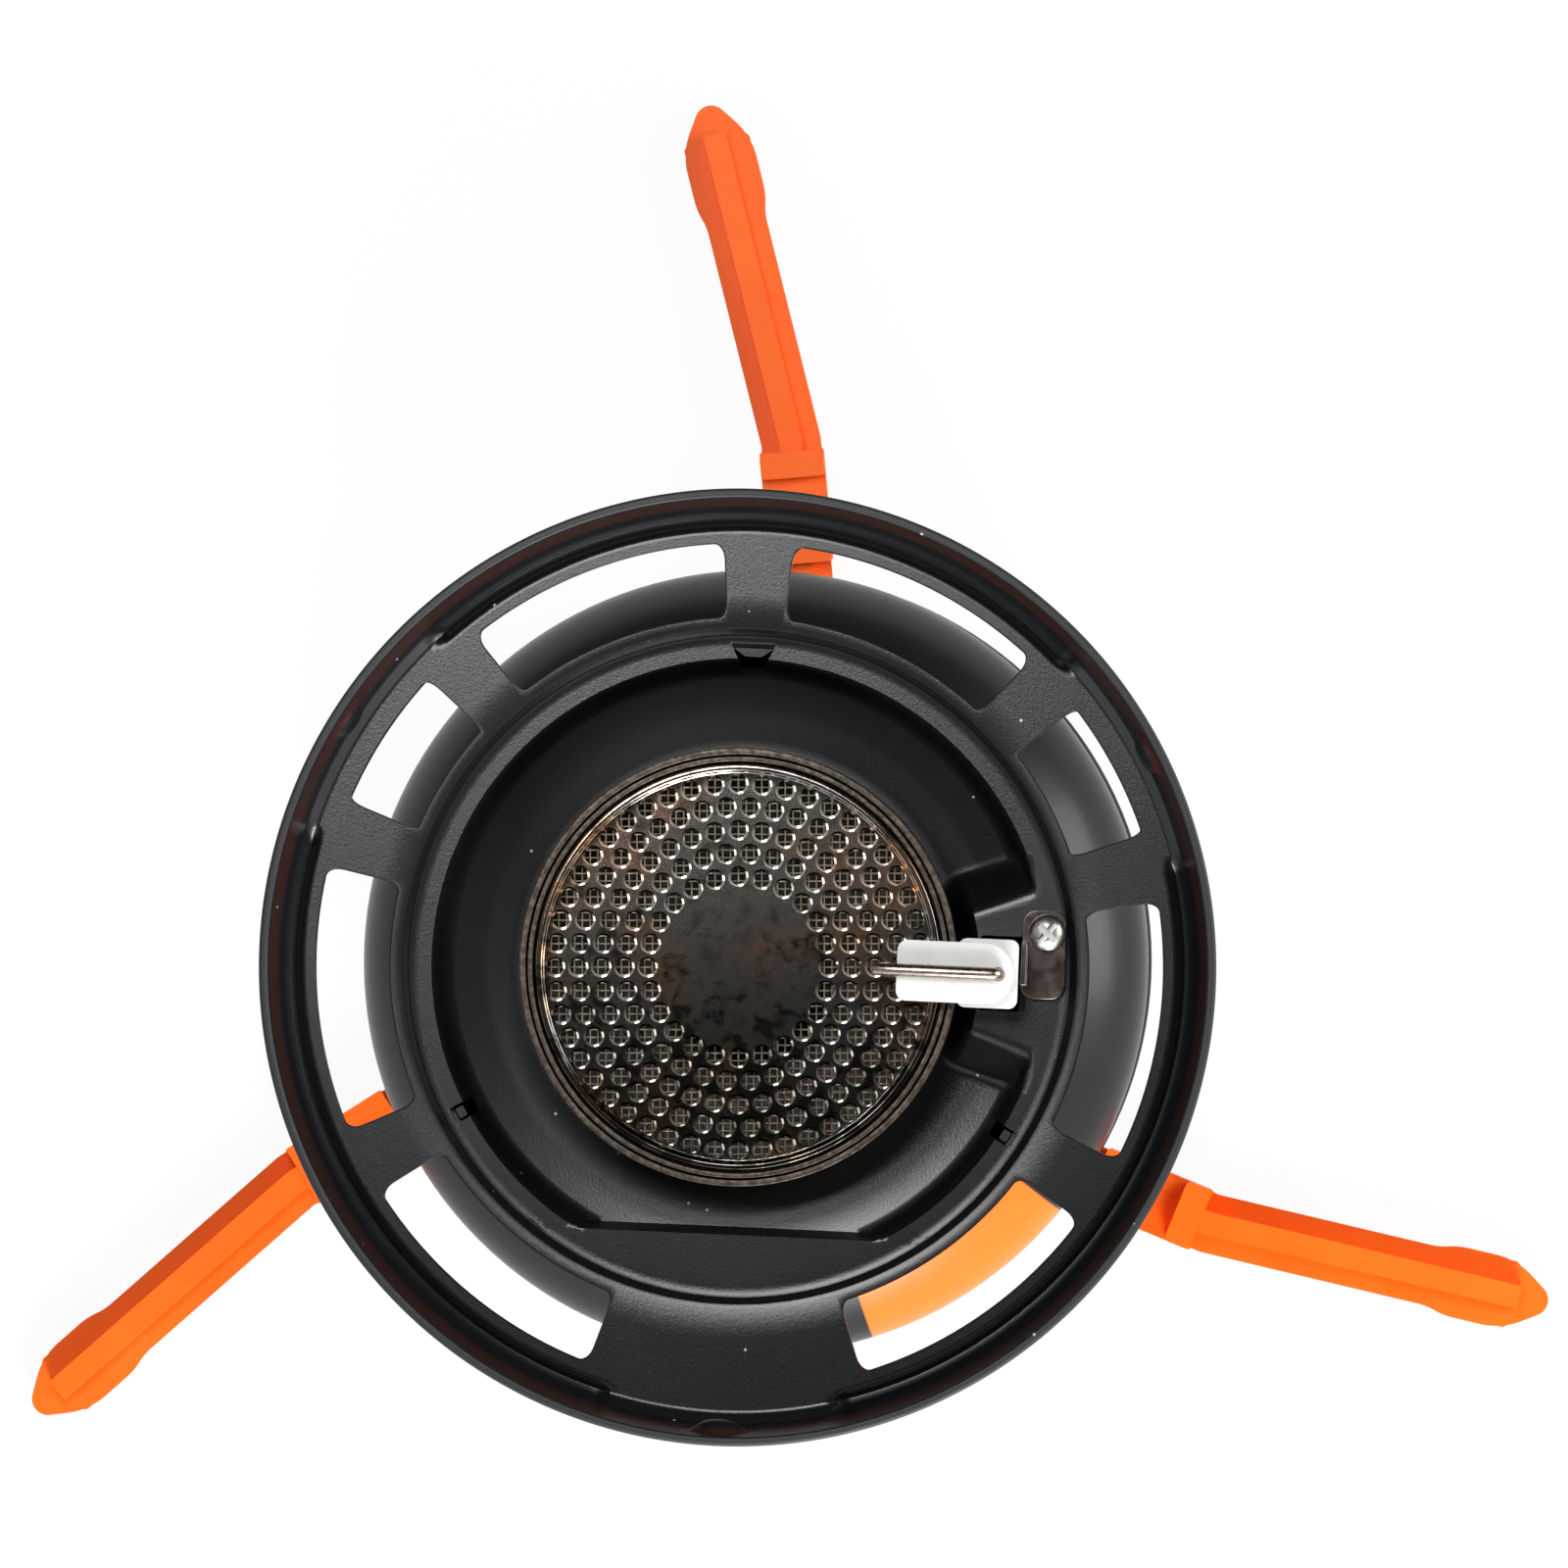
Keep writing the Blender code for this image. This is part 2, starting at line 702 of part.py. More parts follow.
def build_stabiliser():
    """Hub with the fixed rear leg, and two folding legs on rivets."""
    pivot = Vector((LEG_PIVOT, -LEG_OFFSET, 0))
    side_turns = {
        "left": TRIPOD_TURN + LEG_SPACING - LEG_SWING,
        "right": TRIPOD_TURN - LEG_SPACING + LEG_SWING,
    }
    hub = rod("stabiliser_hub", HUB_RADIUS, (0, 0, 0), (0, 0, HUB_THICKNESS), PAN_SIDES)
    rear = leg_solid("rear_leg", REAR_LEG_START)
    root = plate(
        "rear_leg_root",
        leg_outline(
            [
                (REAR_LEG_START + GAP, LEG_WIDTH - 2 * GAP),
                (REAR_LEG_START + REAR_LEG_ROOT, LEG_WIDTH - 2 * GAP),
            ]
        ),
        HUB_THICKNESS / 2,
        LEG_BOTTOM + LEG_THICKNESS / 2,
    )
    join(hub, root, rear)
    for side, turn in side_turns.items():
        nominal = turn + (LEG_SWING if side == "left" else -LEG_SWING)
        centre = Matrix.Rotation(math.radians(nominal), 4, "Z") @ pivot
        leg = leg_solid(f"leg_{side}", LEG_PIVOT)
        boss = rod(
            f"leg_{side}_root",
            ROOT_RADIUS,
            pivot + Vector((0, 0, LEG_BOTTOM + ROOT_INSET)),
            pivot + Vector((0, 0, LEG_TOP - ROOT_INSET)),
            SMALL_SIDES,
        )
        hole = rod(
            f"leg_{side}_hole",
            RIVET_RADIUS + GAP,
            pivot + Vector((0, 0, LEG_BOTTOM - OVERRUN)),
            pivot + Vector((0, 0, LEG_TOP + OVERRUN)),
            SMALL_SIDES,
        )
        join(leg, boss)
        cut(leg, hole)
        carry_tools(leg)
        leg.data.transform(Matrix.Translation(-pivot))
        for step in leg.modifiers:
            step.object.location -= pivot
        leg.location = centre
        leg.rotation_euler.z = math.radians(turn)
        finish(leg, ORANGE, 0.45, 0.0)
        seat = turned(
            f"rivet_seat_{side}",
            [
                (0, HUB_THICKNESS + OVERRUN),
                (RIVET_RADIUS + GAP, HUB_THICKNESS + OVERRUN),
                (RIVET_RADIUS + GAP, HUB_THICKNESS / 2),
                (RIVET_HEAD_RADIUS + GAP, HUB_THICKNESS / 2),
                (RIVET_HEAD_RADIUS + GAP, -OVERRUN),
                (0, -OVERRUN),
            ],
            SMALL_SIDES,
            ring=False,
        )
        seat.location = Matrix.Rotation(math.radians(-TRIPOD_TURN), 4, "Z") @ centre
        cut(hub, seat)
        head_foot = LEG_TOP + GAP
        rivet = turned(
            f"rivet_{side}",
            [
                (0, head_foot + RIVET_HEAD_HEIGHT),
                (RIVET_HEAD_RADIUS * 2 / 3, head_foot + RIVET_HEAD_HEIGHT),
                (RIVET_HEAD_RADIUS, head_foot),
                (RIVET_RADIUS, head_foot),
                (RIVET_RADIUS, HUB_THICKNESS / 2 - GAP),
                (RIVET_HEAD_RADIUS, HUB_THICKNESS / 2 - GAP),
                (RIVET_HEAD_RADIUS, GAP),
                (0, GAP),
            ],
            SMALL_SIDES,
            ring=False,
        )
        rivet.location = centre
        finish(rivet, STEEL, 0.35, 1.0)
    carry_tools(hub)
    hub.rotation_euler.z = math.radians(TRIPOD_TURN)
    finish(hub, ORANGE, 0.45, 0.0)


def build_canister():
    """Drawn shell, domed bottom, crimped valve cup, and the valve inside its threaded neck."""
    body = CANISTER_RADIUS - SEAM_PROUD
    seam_top = SEAM_FOOT + SEAM_HEIGHT
    dome = []
    for step in range(DOME_STEPS + 1):
        along, up = polar(1, 90 * step / DOME_STEPS)
        dome.append((MOUTH_RADIUS + (body - MOUTH_RADIUS) * along, up))
    outer = [(radius, SHOULDER + DOME_HEIGHT * up) for radius, up in reversed(dome)]
    inner_dome = DOME_HEIGHT - SHELL_WALL
    inner = [
        (max(radius - SHELL_WALL, MOUTH_RADIUS), SHOULDER + inner_dome * up) for radius, up in dome
    ]
    lip = CANISTER_RADIUS - SEAM_WIDTH
    shell = turned(
        "canister_shell",
        outer
        + [
            (body, seam_top + SEAM_PROUD),
            (CANISTER_RADIUS, seam_top),
            (CANISTER_RADIUS, SEAM_FOOT),
            (lip, SEAM_FOOT),
            (lip, seam_top - SEAM_PROUD),
            (body - SHELL_WALL, seam_top + SEAM_PROUD),
        ]
        + inner,
        PAN_SIDES,
    )
    finish(shell, BLACK_METAL, 0.35, 0.6)

    edge = lip - GAP
    top = seam_top - SEAM_PROUD
    foot = top - SEAM_WIDTH
    under = []
    for step in range(BOTTOM_STEPS + 1):
        share = 1 - step / BOTTOM_STEPS
        under.append((edge * share, foot + BOTTOM_DEPTH * (1 - share * share)))
    over = [(radius, height + BOTTOM_WALL) for radius, height in reversed(under[1:])]
    bottom = turned(
        "canister_bottom",
        over + [(edge - SEAM_WIDTH, top), (edge, top)] + under,
        PAN_SIDES,
        ring=False,
    )
    finish(bottom, STEEL, 0.4, 1.0)

    gasket_foot = DOME_TOP + GAP
    gasket = turned(
        "cup_gasket",
        [
            (CUP_RIM_RADIUS - GAP, gasket_foot + CUP_GASKET_HEIGHT),
            (CUP_RIM_RADIUS - GAP, gasket_foot),
            (CUP_RIM_RADIUS - CUP_GASKET_WIDTH, gasket_foot),
            (CUP_RIM_RADIUS - CUP_GASKET_WIDTH, gasket_foot + CUP_GASKET_HEIGHT),
        ],
        ROUND_SIDES,
    )
    finish(gasket, RUBBER, 0.8, 0.0)

    rim_round = CUP_WALL
    floor_bottom = CUP_FLOOR - CUP_WALL
    dish_inner = CUP_DISH_RADIUS - CUP_WALL
    cup = turned(
        "valve_cup",
        [
            (CUP_RIM_RADIUS - rim_round, CUP_RIM_TOP),
            (CUP_RIM_RADIUS, CUP_RIM_TOP - rim_round),
            (CUP_RIM_RADIUS, CUP_RIM_FOOT),
            (CUP_DISH_RADIUS, CUP_RIM_FOOT),
            (CUP_DISH_RADIUS - CUP_WALL / 2, floor_bottom),
            (NECK_RADIUS + GAP, floor_bottom),
            (NECK_RADIUS + GAP, CUP_FLOOR),
            (dish_inner - CUP_WALL / 2, CUP_FLOOR),
            (dish_inner, CUP_RIM_TOP - rim_round),
            (dish_inner + rim_round, CUP_RIM_TOP),
        ],
        ROUND_SIDES,
    )
    finish(cup, STEEL, 0.35, 1.0)

    flange_top = floor_bottom - GAP
    flange_bottom = flange_top - NECK_FLANGE_HEIGHT
    chamber_top = CUP_FLOOR
    chamber_bottom = chamber_top - CHAMBER_DEPTH
    chamber_outer = CHAMBER_RADIUS + CHAMBER_WALL
    neck = turned(
        "valve_housing",
        [
            (NECK_RADIUS - GAP, NECK_TOP),
            (NECK_RADIUS, NECK_TOP - GAP),
            (NECK_RADIUS, flange_top),
            (NECK_FLANGE_RADIUS, flange_top),
            (NECK_FLANGE_RADIUS, flange_bottom),
            (chamber_outer, flange_bottom),
            (chamber_outer, chamber_bottom),
            (CHAMBER_HOLE, chamber_bottom),
            (CHAMBER_HOLE, chamber_bottom + CHAMBER_FLOOR),
            (CHAMBER_RADIUS, chamber_bottom + CHAMBER_FLOOR),
            (CHAMBER_RADIUS, chamber_top),
            (NECK_BORE, chamber_top),
            (NECK_BORE, NECK_TOP),
        ],
        ROUND_SIDES,
    )
    finish(neck, ALUMINIUM, 0.3, 1.0)

    gasket_top = chamber_top - GAP
    gasket_bottom = gasket_top - STEM_GASKET_HEIGHT
    stem_gasket = turned(
        "stem_gasket",
        [
            (CHAMBER_RADIUS - GAP, gasket_top),
            (CHAMBER_RADIUS - GAP, gasket_bottom),
            (STEM_RADIUS + GAP, gasket_bottom),
            (STEM_RADIUS + GAP, gasket_top),
        ],
        SMALL_SIDES,
    )
    finish(stem_gasket, RUBBER, 0.8, 0.0)

    head_top = gasket_bottom - STEM_TRAVEL - GAP
    head_bottom = head_top - STEM_HEAD_HEIGHT
    stem = turned(
        "valve_stem",
        [
            (0, NECK_TOP - STEM_TOP),
            (STEM_RADIUS, NECK_TOP - STEM_TOP),
            (STEM_RADIUS, head_top),
            (STEM_HEAD_RADIUS, head_top),
            (STEM_HEAD_RADIUS, head_bottom),
            (0, head_bottom),
        ],
        SMALL_SIDES,
        ring=False,
    )
    finish(stem, BRASS, 0.35, 1.0)

    spring_foot = chamber_bottom + CHAMBER_FLOOR + GAP + STEM_WIRE
    spring_head = head_bottom - GAP - STEM_WIRE
    spring = wire(
        "stem_spring",
        coil(STEM_HEAD_RADIUS - GAP, spring_foot, spring_head, STEM_TURNS, STEM_WIRE),
        STEM_WIRE,
        COIL_STEPS,
    )
    finish(spring, STEEL, 0.3, 1.0)


def build_valve():
    """Valve body on the canister's neck, with the pin, jet, spindle, gland nut and handle."""
    ring_foot = NECK_TOP + GAP
    ring = turned(
        "adapter_o_ring",
        [
            (NECK_RADIUS - GAP, ring_foot + ADAPTER_RING_HEIGHT),
            (NECK_RADIUS - GAP, ring_foot),
            (PIN_HEAD_RADIUS + GAP, ring_foot),
            (PIN_HEAD_RADIUS + GAP, ring_foot + ADAPTER_RING_HEIGHT),
        ],
        ROUND_SIDES,
    )
    finish(ring, RUBBER, 0.7, 0.0)

    pin_top = BODY_CEILING - GAP
    pin = turned(
        "depressor_pin",
        [
            (0, pin_top),
            (PIN_HEAD_RADIUS - GAP, pin_top),
            (PIN_HEAD_RADIUS - GAP, pin_top - PIN_HEAD_HEIGHT),
            (PIN_RADIUS, pin_top - PIN_HEAD_HEIGHT),
            (PIN_RADIUS, NECK_TOP - STEM_TOP + GAP),
            (0, NECK_TOP - STEM_TOP + GAP),
        ],
        SMALL_SIDES,
        ring=False,
    )
    finish(pin, BRASS, 0.35, 1.0)

    thread = NECK_RADIUS + THREAD_CLEARANCE
    jet_pocket = JET_RADIUS + GAP
    jet_floor = BLOCK_TOP - JET_SEAT
    body = turned(
        "valve_body",
        [
            (STUB_RADIUS, BLOCK_TOP + STUB_HEIGHT),
            (STUB_RADIUS, BLOCK_TOP),
            (BLOCK_RADIUS, BLOCK_TOP),
            (BLOCK_RADIUS, SKIRT_TOP),
            (SKIRT_RADIUS, SKIRT_TOP),
            (SKIRT_RADIUS, BODY_BOTTOM),
            (thread, BODY_BOTTOM),
            (thread, BODY_CEILING),
            (PASSAGE_RADIUS, BODY_CEILING),
            (PASSAGE_RADIUS, jet_floor),
            (jet_pocket, jet_floor),
            (jet_pocket, BLOCK_TOP + STUB_HEIGHT),
        ],
        ROUND_SIDES,
    )
    boss = rod(
        "valve_boss",
        BOSS_RADIUS,
        (0, -BLOCK_RADIUS * 3 / 4, SPINDLE_HEIGHT),
        (0, -BOSS_REACH, SPINDLE_HEIGHT),
        ROUND_SIDES,
    )
    bore = rod(
        "spindle_bore",
        SPINDLE_BORE,
        (0, -SPINDLE_SEAT, SPINDLE_HEIGHT),
        (0, -BOSS_REACH - OVERRUN, SPINDLE_HEIGHT),
        SMALL_SIDES,
    )
    join(body, boss)
    cut(body, bore)
    finish(body, BRASS, 0.3, 1.0)

    jet_bottom = jet_floor + GAP
    hex_foot = BLOCK_TOP + STUB_HEIGHT + GAP
    jet = rod("jet", JET_RADIUS, (0, 0, jet_bottom), (0, 0, hex_foot + JET_HEX_HEIGHT), PIN_SIDES)
    head = rod(
        "jet_hex", JET_HEX_RADIUS, (0, 0, hex_foot), (0, 0, hex_foot + JET_HEX_HEIGHT), HEX_SIDES
    )
    orifice = rod(
        "jet_orifice",
        JET_BORE,
        (0, 0, jet_bottom - OVERRUN),
        (0, 0, hex_foot + JET_HEX_HEIGHT + OVERRUN),
        PIN_SIDES,
    )
    cut(join(jet, head), orifice)
    finish(jet, BRASS, 0.25, 1.0)

    needle_end = SPINDLE_SEAT + GAP
    spindle = turned(
        "valve_spindle",
        [
            (0, SPINDLE_END),
            (SPINDLE_RADIUS, SPINDLE_END),
            (SPINDLE_RADIUS, needle_end + NEEDLE_LENGTH),
            (NEEDLE_TIP, needle_end),
            (0, needle_end),
        ],
        PIN_SIDES,
        ring=False,
    )
    finish(lie_along_y(spindle, SPINDLE_HEIGHT), STEEL, 0.25, 1.0)

    seal = turned(
        "spindle_o_ring",
        [
            (SPINDLE_BORE - GAP, ORING_REACH + ORING_LENGTH),
            (SPINDLE_BORE - GAP, ORING_REACH),
            (SPINDLE_RADIUS + GAP, ORING_REACH),
            (SPINDLE_RADIUS + GAP, ORING_REACH + ORING_LENGTH),
        ],
        SMALL_SIDES,
    )
    finish(lie_along_y(seal, SPINDLE_HEIGHT), RUBBER, 0.7, 0.0)

    gland_start = BOSS_REACH + GAP
    gland_end = gland_start + GLAND_LENGTH
    gland = rod(
        "gland_nut",
        GLAND_RADIUS,
        (0, -gland_start, SPINDLE_HEIGHT),
        (0, -gland_end, SPINDLE_HEIGHT),
        HEX_SIDES,
    )
    gland_bore = rod(
        "gland_bore",
        SPINDLE_RADIUS + GAP,
        (0, -gland_start + OVERRUN, SPINDLE_HEIGHT),
        (0, -gland_end - OVERRUN, SPINDLE_HEIGHT),
        PIN_SIDES,
    )
    finish(cut(gland, gland_bore), BRASS, 0.3, 1.0)
    build_handle()


def build_handle():
    """Small block fixed on the spindle's end, and the wire loop that folds about it."""
    half = HANDLE_BLOCK_WIDTH / 2
    rise = HANDLE_BLOCK_HEIGHT / 2
    front = HANDLE_PIVOT - HANDLE_BLOCK_LENGTH / 2
    back = HANDLE_PIVOT + HANDLE_BLOCK_LENGTH / 2
    hub = block(
        "handle_block",
        (-half, -back, SPINDLE_HEIGHT - rise),
        (half, -front, SPINDLE_HEIGHT + rise),
    )
    socket = rod(
        "spindle_socket",
        SPINDLE_RADIUS + GAP,
        (0, -front + OVERRUN, SPINDLE_HEIGHT),
        (0, -SPINDLE_END - GAP, SPINDLE_HEIGHT),
        PIN_SIDES,
    )
    cross = rod(
        "handle_cross_hole",
        HANDLE_WIRE + GAP,
        (-half - OVERRUN, -HANDLE_PIVOT, SPINDLE_HEIGHT),
        (half + OVERRUN, -HANDLE_PIVOT, SPINDLE_HEIGHT),
        PIN_SIDES,
    )
    finish(cut(hub, socket, cross), ALUMINIUM, 0.35, 1.0)

    side = HANDLE_WIDTH / 2 - HANDLE_WIRE
    far = HANDLE_LENGTH - HANDLE_WIRE
    pin_end = half - HANDLE_PIN
    near_corner = HANDLE_WIRE * 2
    right = [(pin_end, 0), (side - near_corner, 0)]
    bends = ((near_corner, near_corner, -90), (far - HANDLE_CORNER, HANDLE_CORNER, 0))
    for centre_y, corner, start in bends:
        for step in range(1, CORNER_STEPS + 1):
            across, out = polar(corner, start + 90 * step / CORNER_STEPS)
            right.append((side - corner + across, centre_y + out))
    left = [(-x, y) for x, y in reversed(right)]
    loop = wire(
        "wire_handle",
        [(x, -y, 0) for x, y in right + left],
        HANDLE_WIRE,
        WIRE_STEPS,
    )
    loop.location = (0, -HANDLE_PIVOT, SPINDLE_HEIGHT)
    finish(loop, STEEL, 0.2, 1.0)


def build_burner():
    """Mixing tube, nut, burner cup, screen, perforated cap and crimped collar."""
    cup_bottom = PAN_FLOOR + GAP
    cup_floor = cup_bottom + BURNER_CUP_FLOOR
    flange_foot = cup_floor + GAP
    flange_top = flange_foot + TUBE_FLANGE_HEIGHT
    tube = turned(
        "mixing_tube",
        [
            (TUBE_FLANGE_RADIUS, flange_top),
            (TUBE_FLANGE_RADIUS, flange_foot),
            (TUBE_RADIUS, flange_foot),
            (TUBE_RADIUS, TUBE_BOTTOM),
            (TUBE_RADIUS - TUBE_WALL, TUBE_BOTTOM),
            (TUBE_RADIUS - TUBE_WALL, flange_top),
        ],
        ROUND_SIDES,
    )
    air = TUBE_BOTTOM + AIR_HOLE_RISE
    reach = TUBE_RADIUS + OVERRUN
    along_x = rod("air_holes_x", AIR_HOLE_RADIUS, (-reach, 0, air), (reach, 0, air), PIN_SIDES)
    along_y = rod("air_holes_y", AIR_HOLE_RADIUS, (0, -reach, air), (0, reach, air), PIN_SIDES)
    finish(cut(tube, along_x, along_y), BRASS, 0.35, 1.0)

    nut_top = PAN_FLOOR - SHEET - GAP
    nut = rod("burner_nut", NUT_RADIUS, (0, 0, nut_top - NUT_HEIGHT), (0, 0, nut_top), HEX_SIDES)
    nut_hole = rod(
        "burner_nut_hole",
        TUBE_RADIUS + GAP,
        (0, 0, nut_top - NUT_HEIGHT - OVERRUN),
        (0, 0, nut_top + OVERRUN),
        ROUND_SIDES,
    )
    finish(cut(nut, nut_hole), STEEL, 0.35, 1.0)

    cup_outer = COLLAR_RADIUS - COLLAR_WALL - GAP
    cup_inner = cup_outer - BURNER_CUP_WALL
    cup_top = COLLAR_TOP - BURNER_CUP_DROP
    cup = turned(
        "burner_cup",
        [
            (cup_outer, cup_top),
            (cup_outer, cup_bottom),
            (TUBE_RADIUS + GAP, cup_bottom),
            (TUBE_RADIUS + GAP, cup_floor),
            (cup_inner, cup_floor),
            (cup_inner, cup_top),
        ],
        PAN_SIDES,
    )
    finish(cup, STEEL, 0.3, 1.0)

    collar_foot = PAN_FLOOR + GAP * 2
    lip = COLLAR_WALL / 2
    collar = turned(
        "burner_collar",
        [
            (COLLAR_RADIUS - lip, COLLAR_TOP),
            (COLLAR_RADIUS, COLLAR_TOP - lip),
            (COLLAR_RADIUS, collar_foot),
            (COLLAR_RADIUS - COLLAR_WALL, collar_foot),
            (COLLAR_RADIUS - COLLAR_WALL, COLLAR_TOP),
        ],
        PAN_SIDES,
    )
    finish(collar, STEEL, 0.3, 1.0)
    build_cap(cup_inner - GAP)


def build_cap(radius):
    """Perforated cap with a raised lip, and the net of wire that lies under it."""
    inner = radius - CAP_LIP_WIDTH
    under = CAP_TOP - CAP_THICKNESS
    skirt_foot = CAP_TOP - CAP_SKIRT
    cap = rod("burner_cap", radius, (0, 0, skirt_foot), (0, 0, CAP_TOP + CAP_LIP_HEIGHT), PAN_SIDES)
    below = rod("cap_inside", inner, (0, 0, skirt_foot - OVERRUN), (0, 0, under), PAN_SIDES)
    above = rod("cap_face", inner, (0, 0, CAP_TOP), (0, 0, CAP_TOP + OVERRUN), PAN_SIDES)
    bm = bmesh.new()
    for ring, count in enumerate(CAP_RING_COUNTS):
        for index in range(count):
            angle = CAP_TURN + 360 * (index + (ring % 2) / 2) / count
            x, y = polar(CAP_RING_RADIUS + ring * CAP_RING_PITCH, angle)
            bmesh.ops.create_cone(
                bm,
                cap_ends=True,
                segments=CAP_HOLE_SIDES,
                radius1=CAP_HOLE_RADIUS,
                radius2=CAP_HOLE_RADIUS,
                depth=CAP_THICKNESS + 2 * OVERRUN,
                matrix=Matrix.Translation((x, y, CAP_TOP - CAP_THICKNESS / 2))
                @ Matrix.Rotation(math.radians(angle), 4, "Z"),
            )
    holes = mesh_object("cap_holes", bm)
    finish(cut(cap, below, above, holes), STEEL, 0.25, 1.0)

    screen_top = under - GAP
    screen_radius = inner - GAP
    screen = rod(
        "burner_screen",
        screen_radius,
        (0, 0, screen_top - SCREEN_THICKNESS),
        (0, 0, screen_top),
        PAN_SIDES,
    )
    bm = bmesh.new()
    reach = int(screen_radius / SCREEN_PITCH) + 1
    half = (SCREEN_PITCH - SCREEN_BAR) / 2
    for column in range(-reach, reach + 1):
        for row in range(-reach, reach + 1):
            x, y = column * SCREEN_PITCH, row * SCREEN_PITCH
            if math.hypot(abs(x) + half, abs(y) + half) > screen_radius - SCREEN_BORDER:
                continue
            size = Matrix.Diagonal((2 * half, 2 * half, SCREEN_THICKNESS + 2 * OVERRUN, 1))
            centre = Matrix.Translation((x, y, screen_top - SCREEN_THICKNESS / 2))
            bmesh.ops.create_cube(bm, size=1, matrix=centre @ size)
    finish(cut(screen, mesh_object("screen_gaps", bm)), STEEL, 0.3, 1.0)


def pan_profile():
    """The pan's upper surface, from the rim inwards."""
    return [
        (RIM_RADIUS - SHEET, RIM_TOP),
        (WALL_FOOT_RADIUS, PAN_FLOOR + WALL_FOOT_HEIGHT),
        (FILLET_RADIUS, PAN_FLOOR + FILLET_HEIGHT),
        (DECK_RADIUS, DECK),
        (STEP_TOP_RADIUS, DECK),
        (STEP_FOOT_RADIUS, LEDGE),
        (LEDGE_RADIUS, LEDGE),
        (WELL_RADIUS, PAN_FLOOR + WELL_HEIGHT),
        (FLOOR_EDGE_RADIUS, PAN_FLOOR + FLOOR_EDGE_HEIGHT),
        (FLOOR_MIDDLE_RADIUS, PAN_FLOOR + FLOOR_MIDDLE_HEIGHT),
        (FLOOR_FLAT_RADIUS, PAN_FLOOR),
        (PAN_HOLE_RADIUS, PAN_FLOOR),
    ]


def raised_pocket(pan, name, outline, hollow):
    """Joins a raised step to the pan and hollows it from below to the sheet's thickness."""
    solid = plate(name, outline, PAN_FLOOR - SHEET / 3, LEDGE)
    pocket = plate(name + "_pocket", hollow, PAN_FLOOR - SHEET - OVERRUN, LEDGE - POCKET_SKIN)
    cut(join(pan, solid), pocket)


def front_step_outline(distance, radius):
    """The part of a circle that lies beyond a straight line on the -Y side."""
    half = math.degrees(math.acos(distance / radius))
    steps = 2 * CORNER_STEPS
    return [polar(radius, -90 - half + 2 * half * step / steps) for step in range(steps + 1)]


def tab_outline(index, inner, outer, shrink):
    """Plan outline of a tab hole or, with shrink, of the tab inside it."""
    near, far = (WIDE_TAB_FOOT, WIDE_TAB) if index == 0 else (NARROW_TAB, NARROW_TAB)
    near, far = near / 2 - shrink, far / 2 - shrink
    inner, outer = inner + shrink, outer - shrink
    corners = [(inner, -near), (outer, -far), (outer, far), (inner, near)]
    turn = math.radians(TAB_ANGLES[index])
    return [
        (x * math.cos(turn) - y * math.sin(turn), x * math.sin(turn) + y * math.cos(turn))
        for x, y in corners
    ]


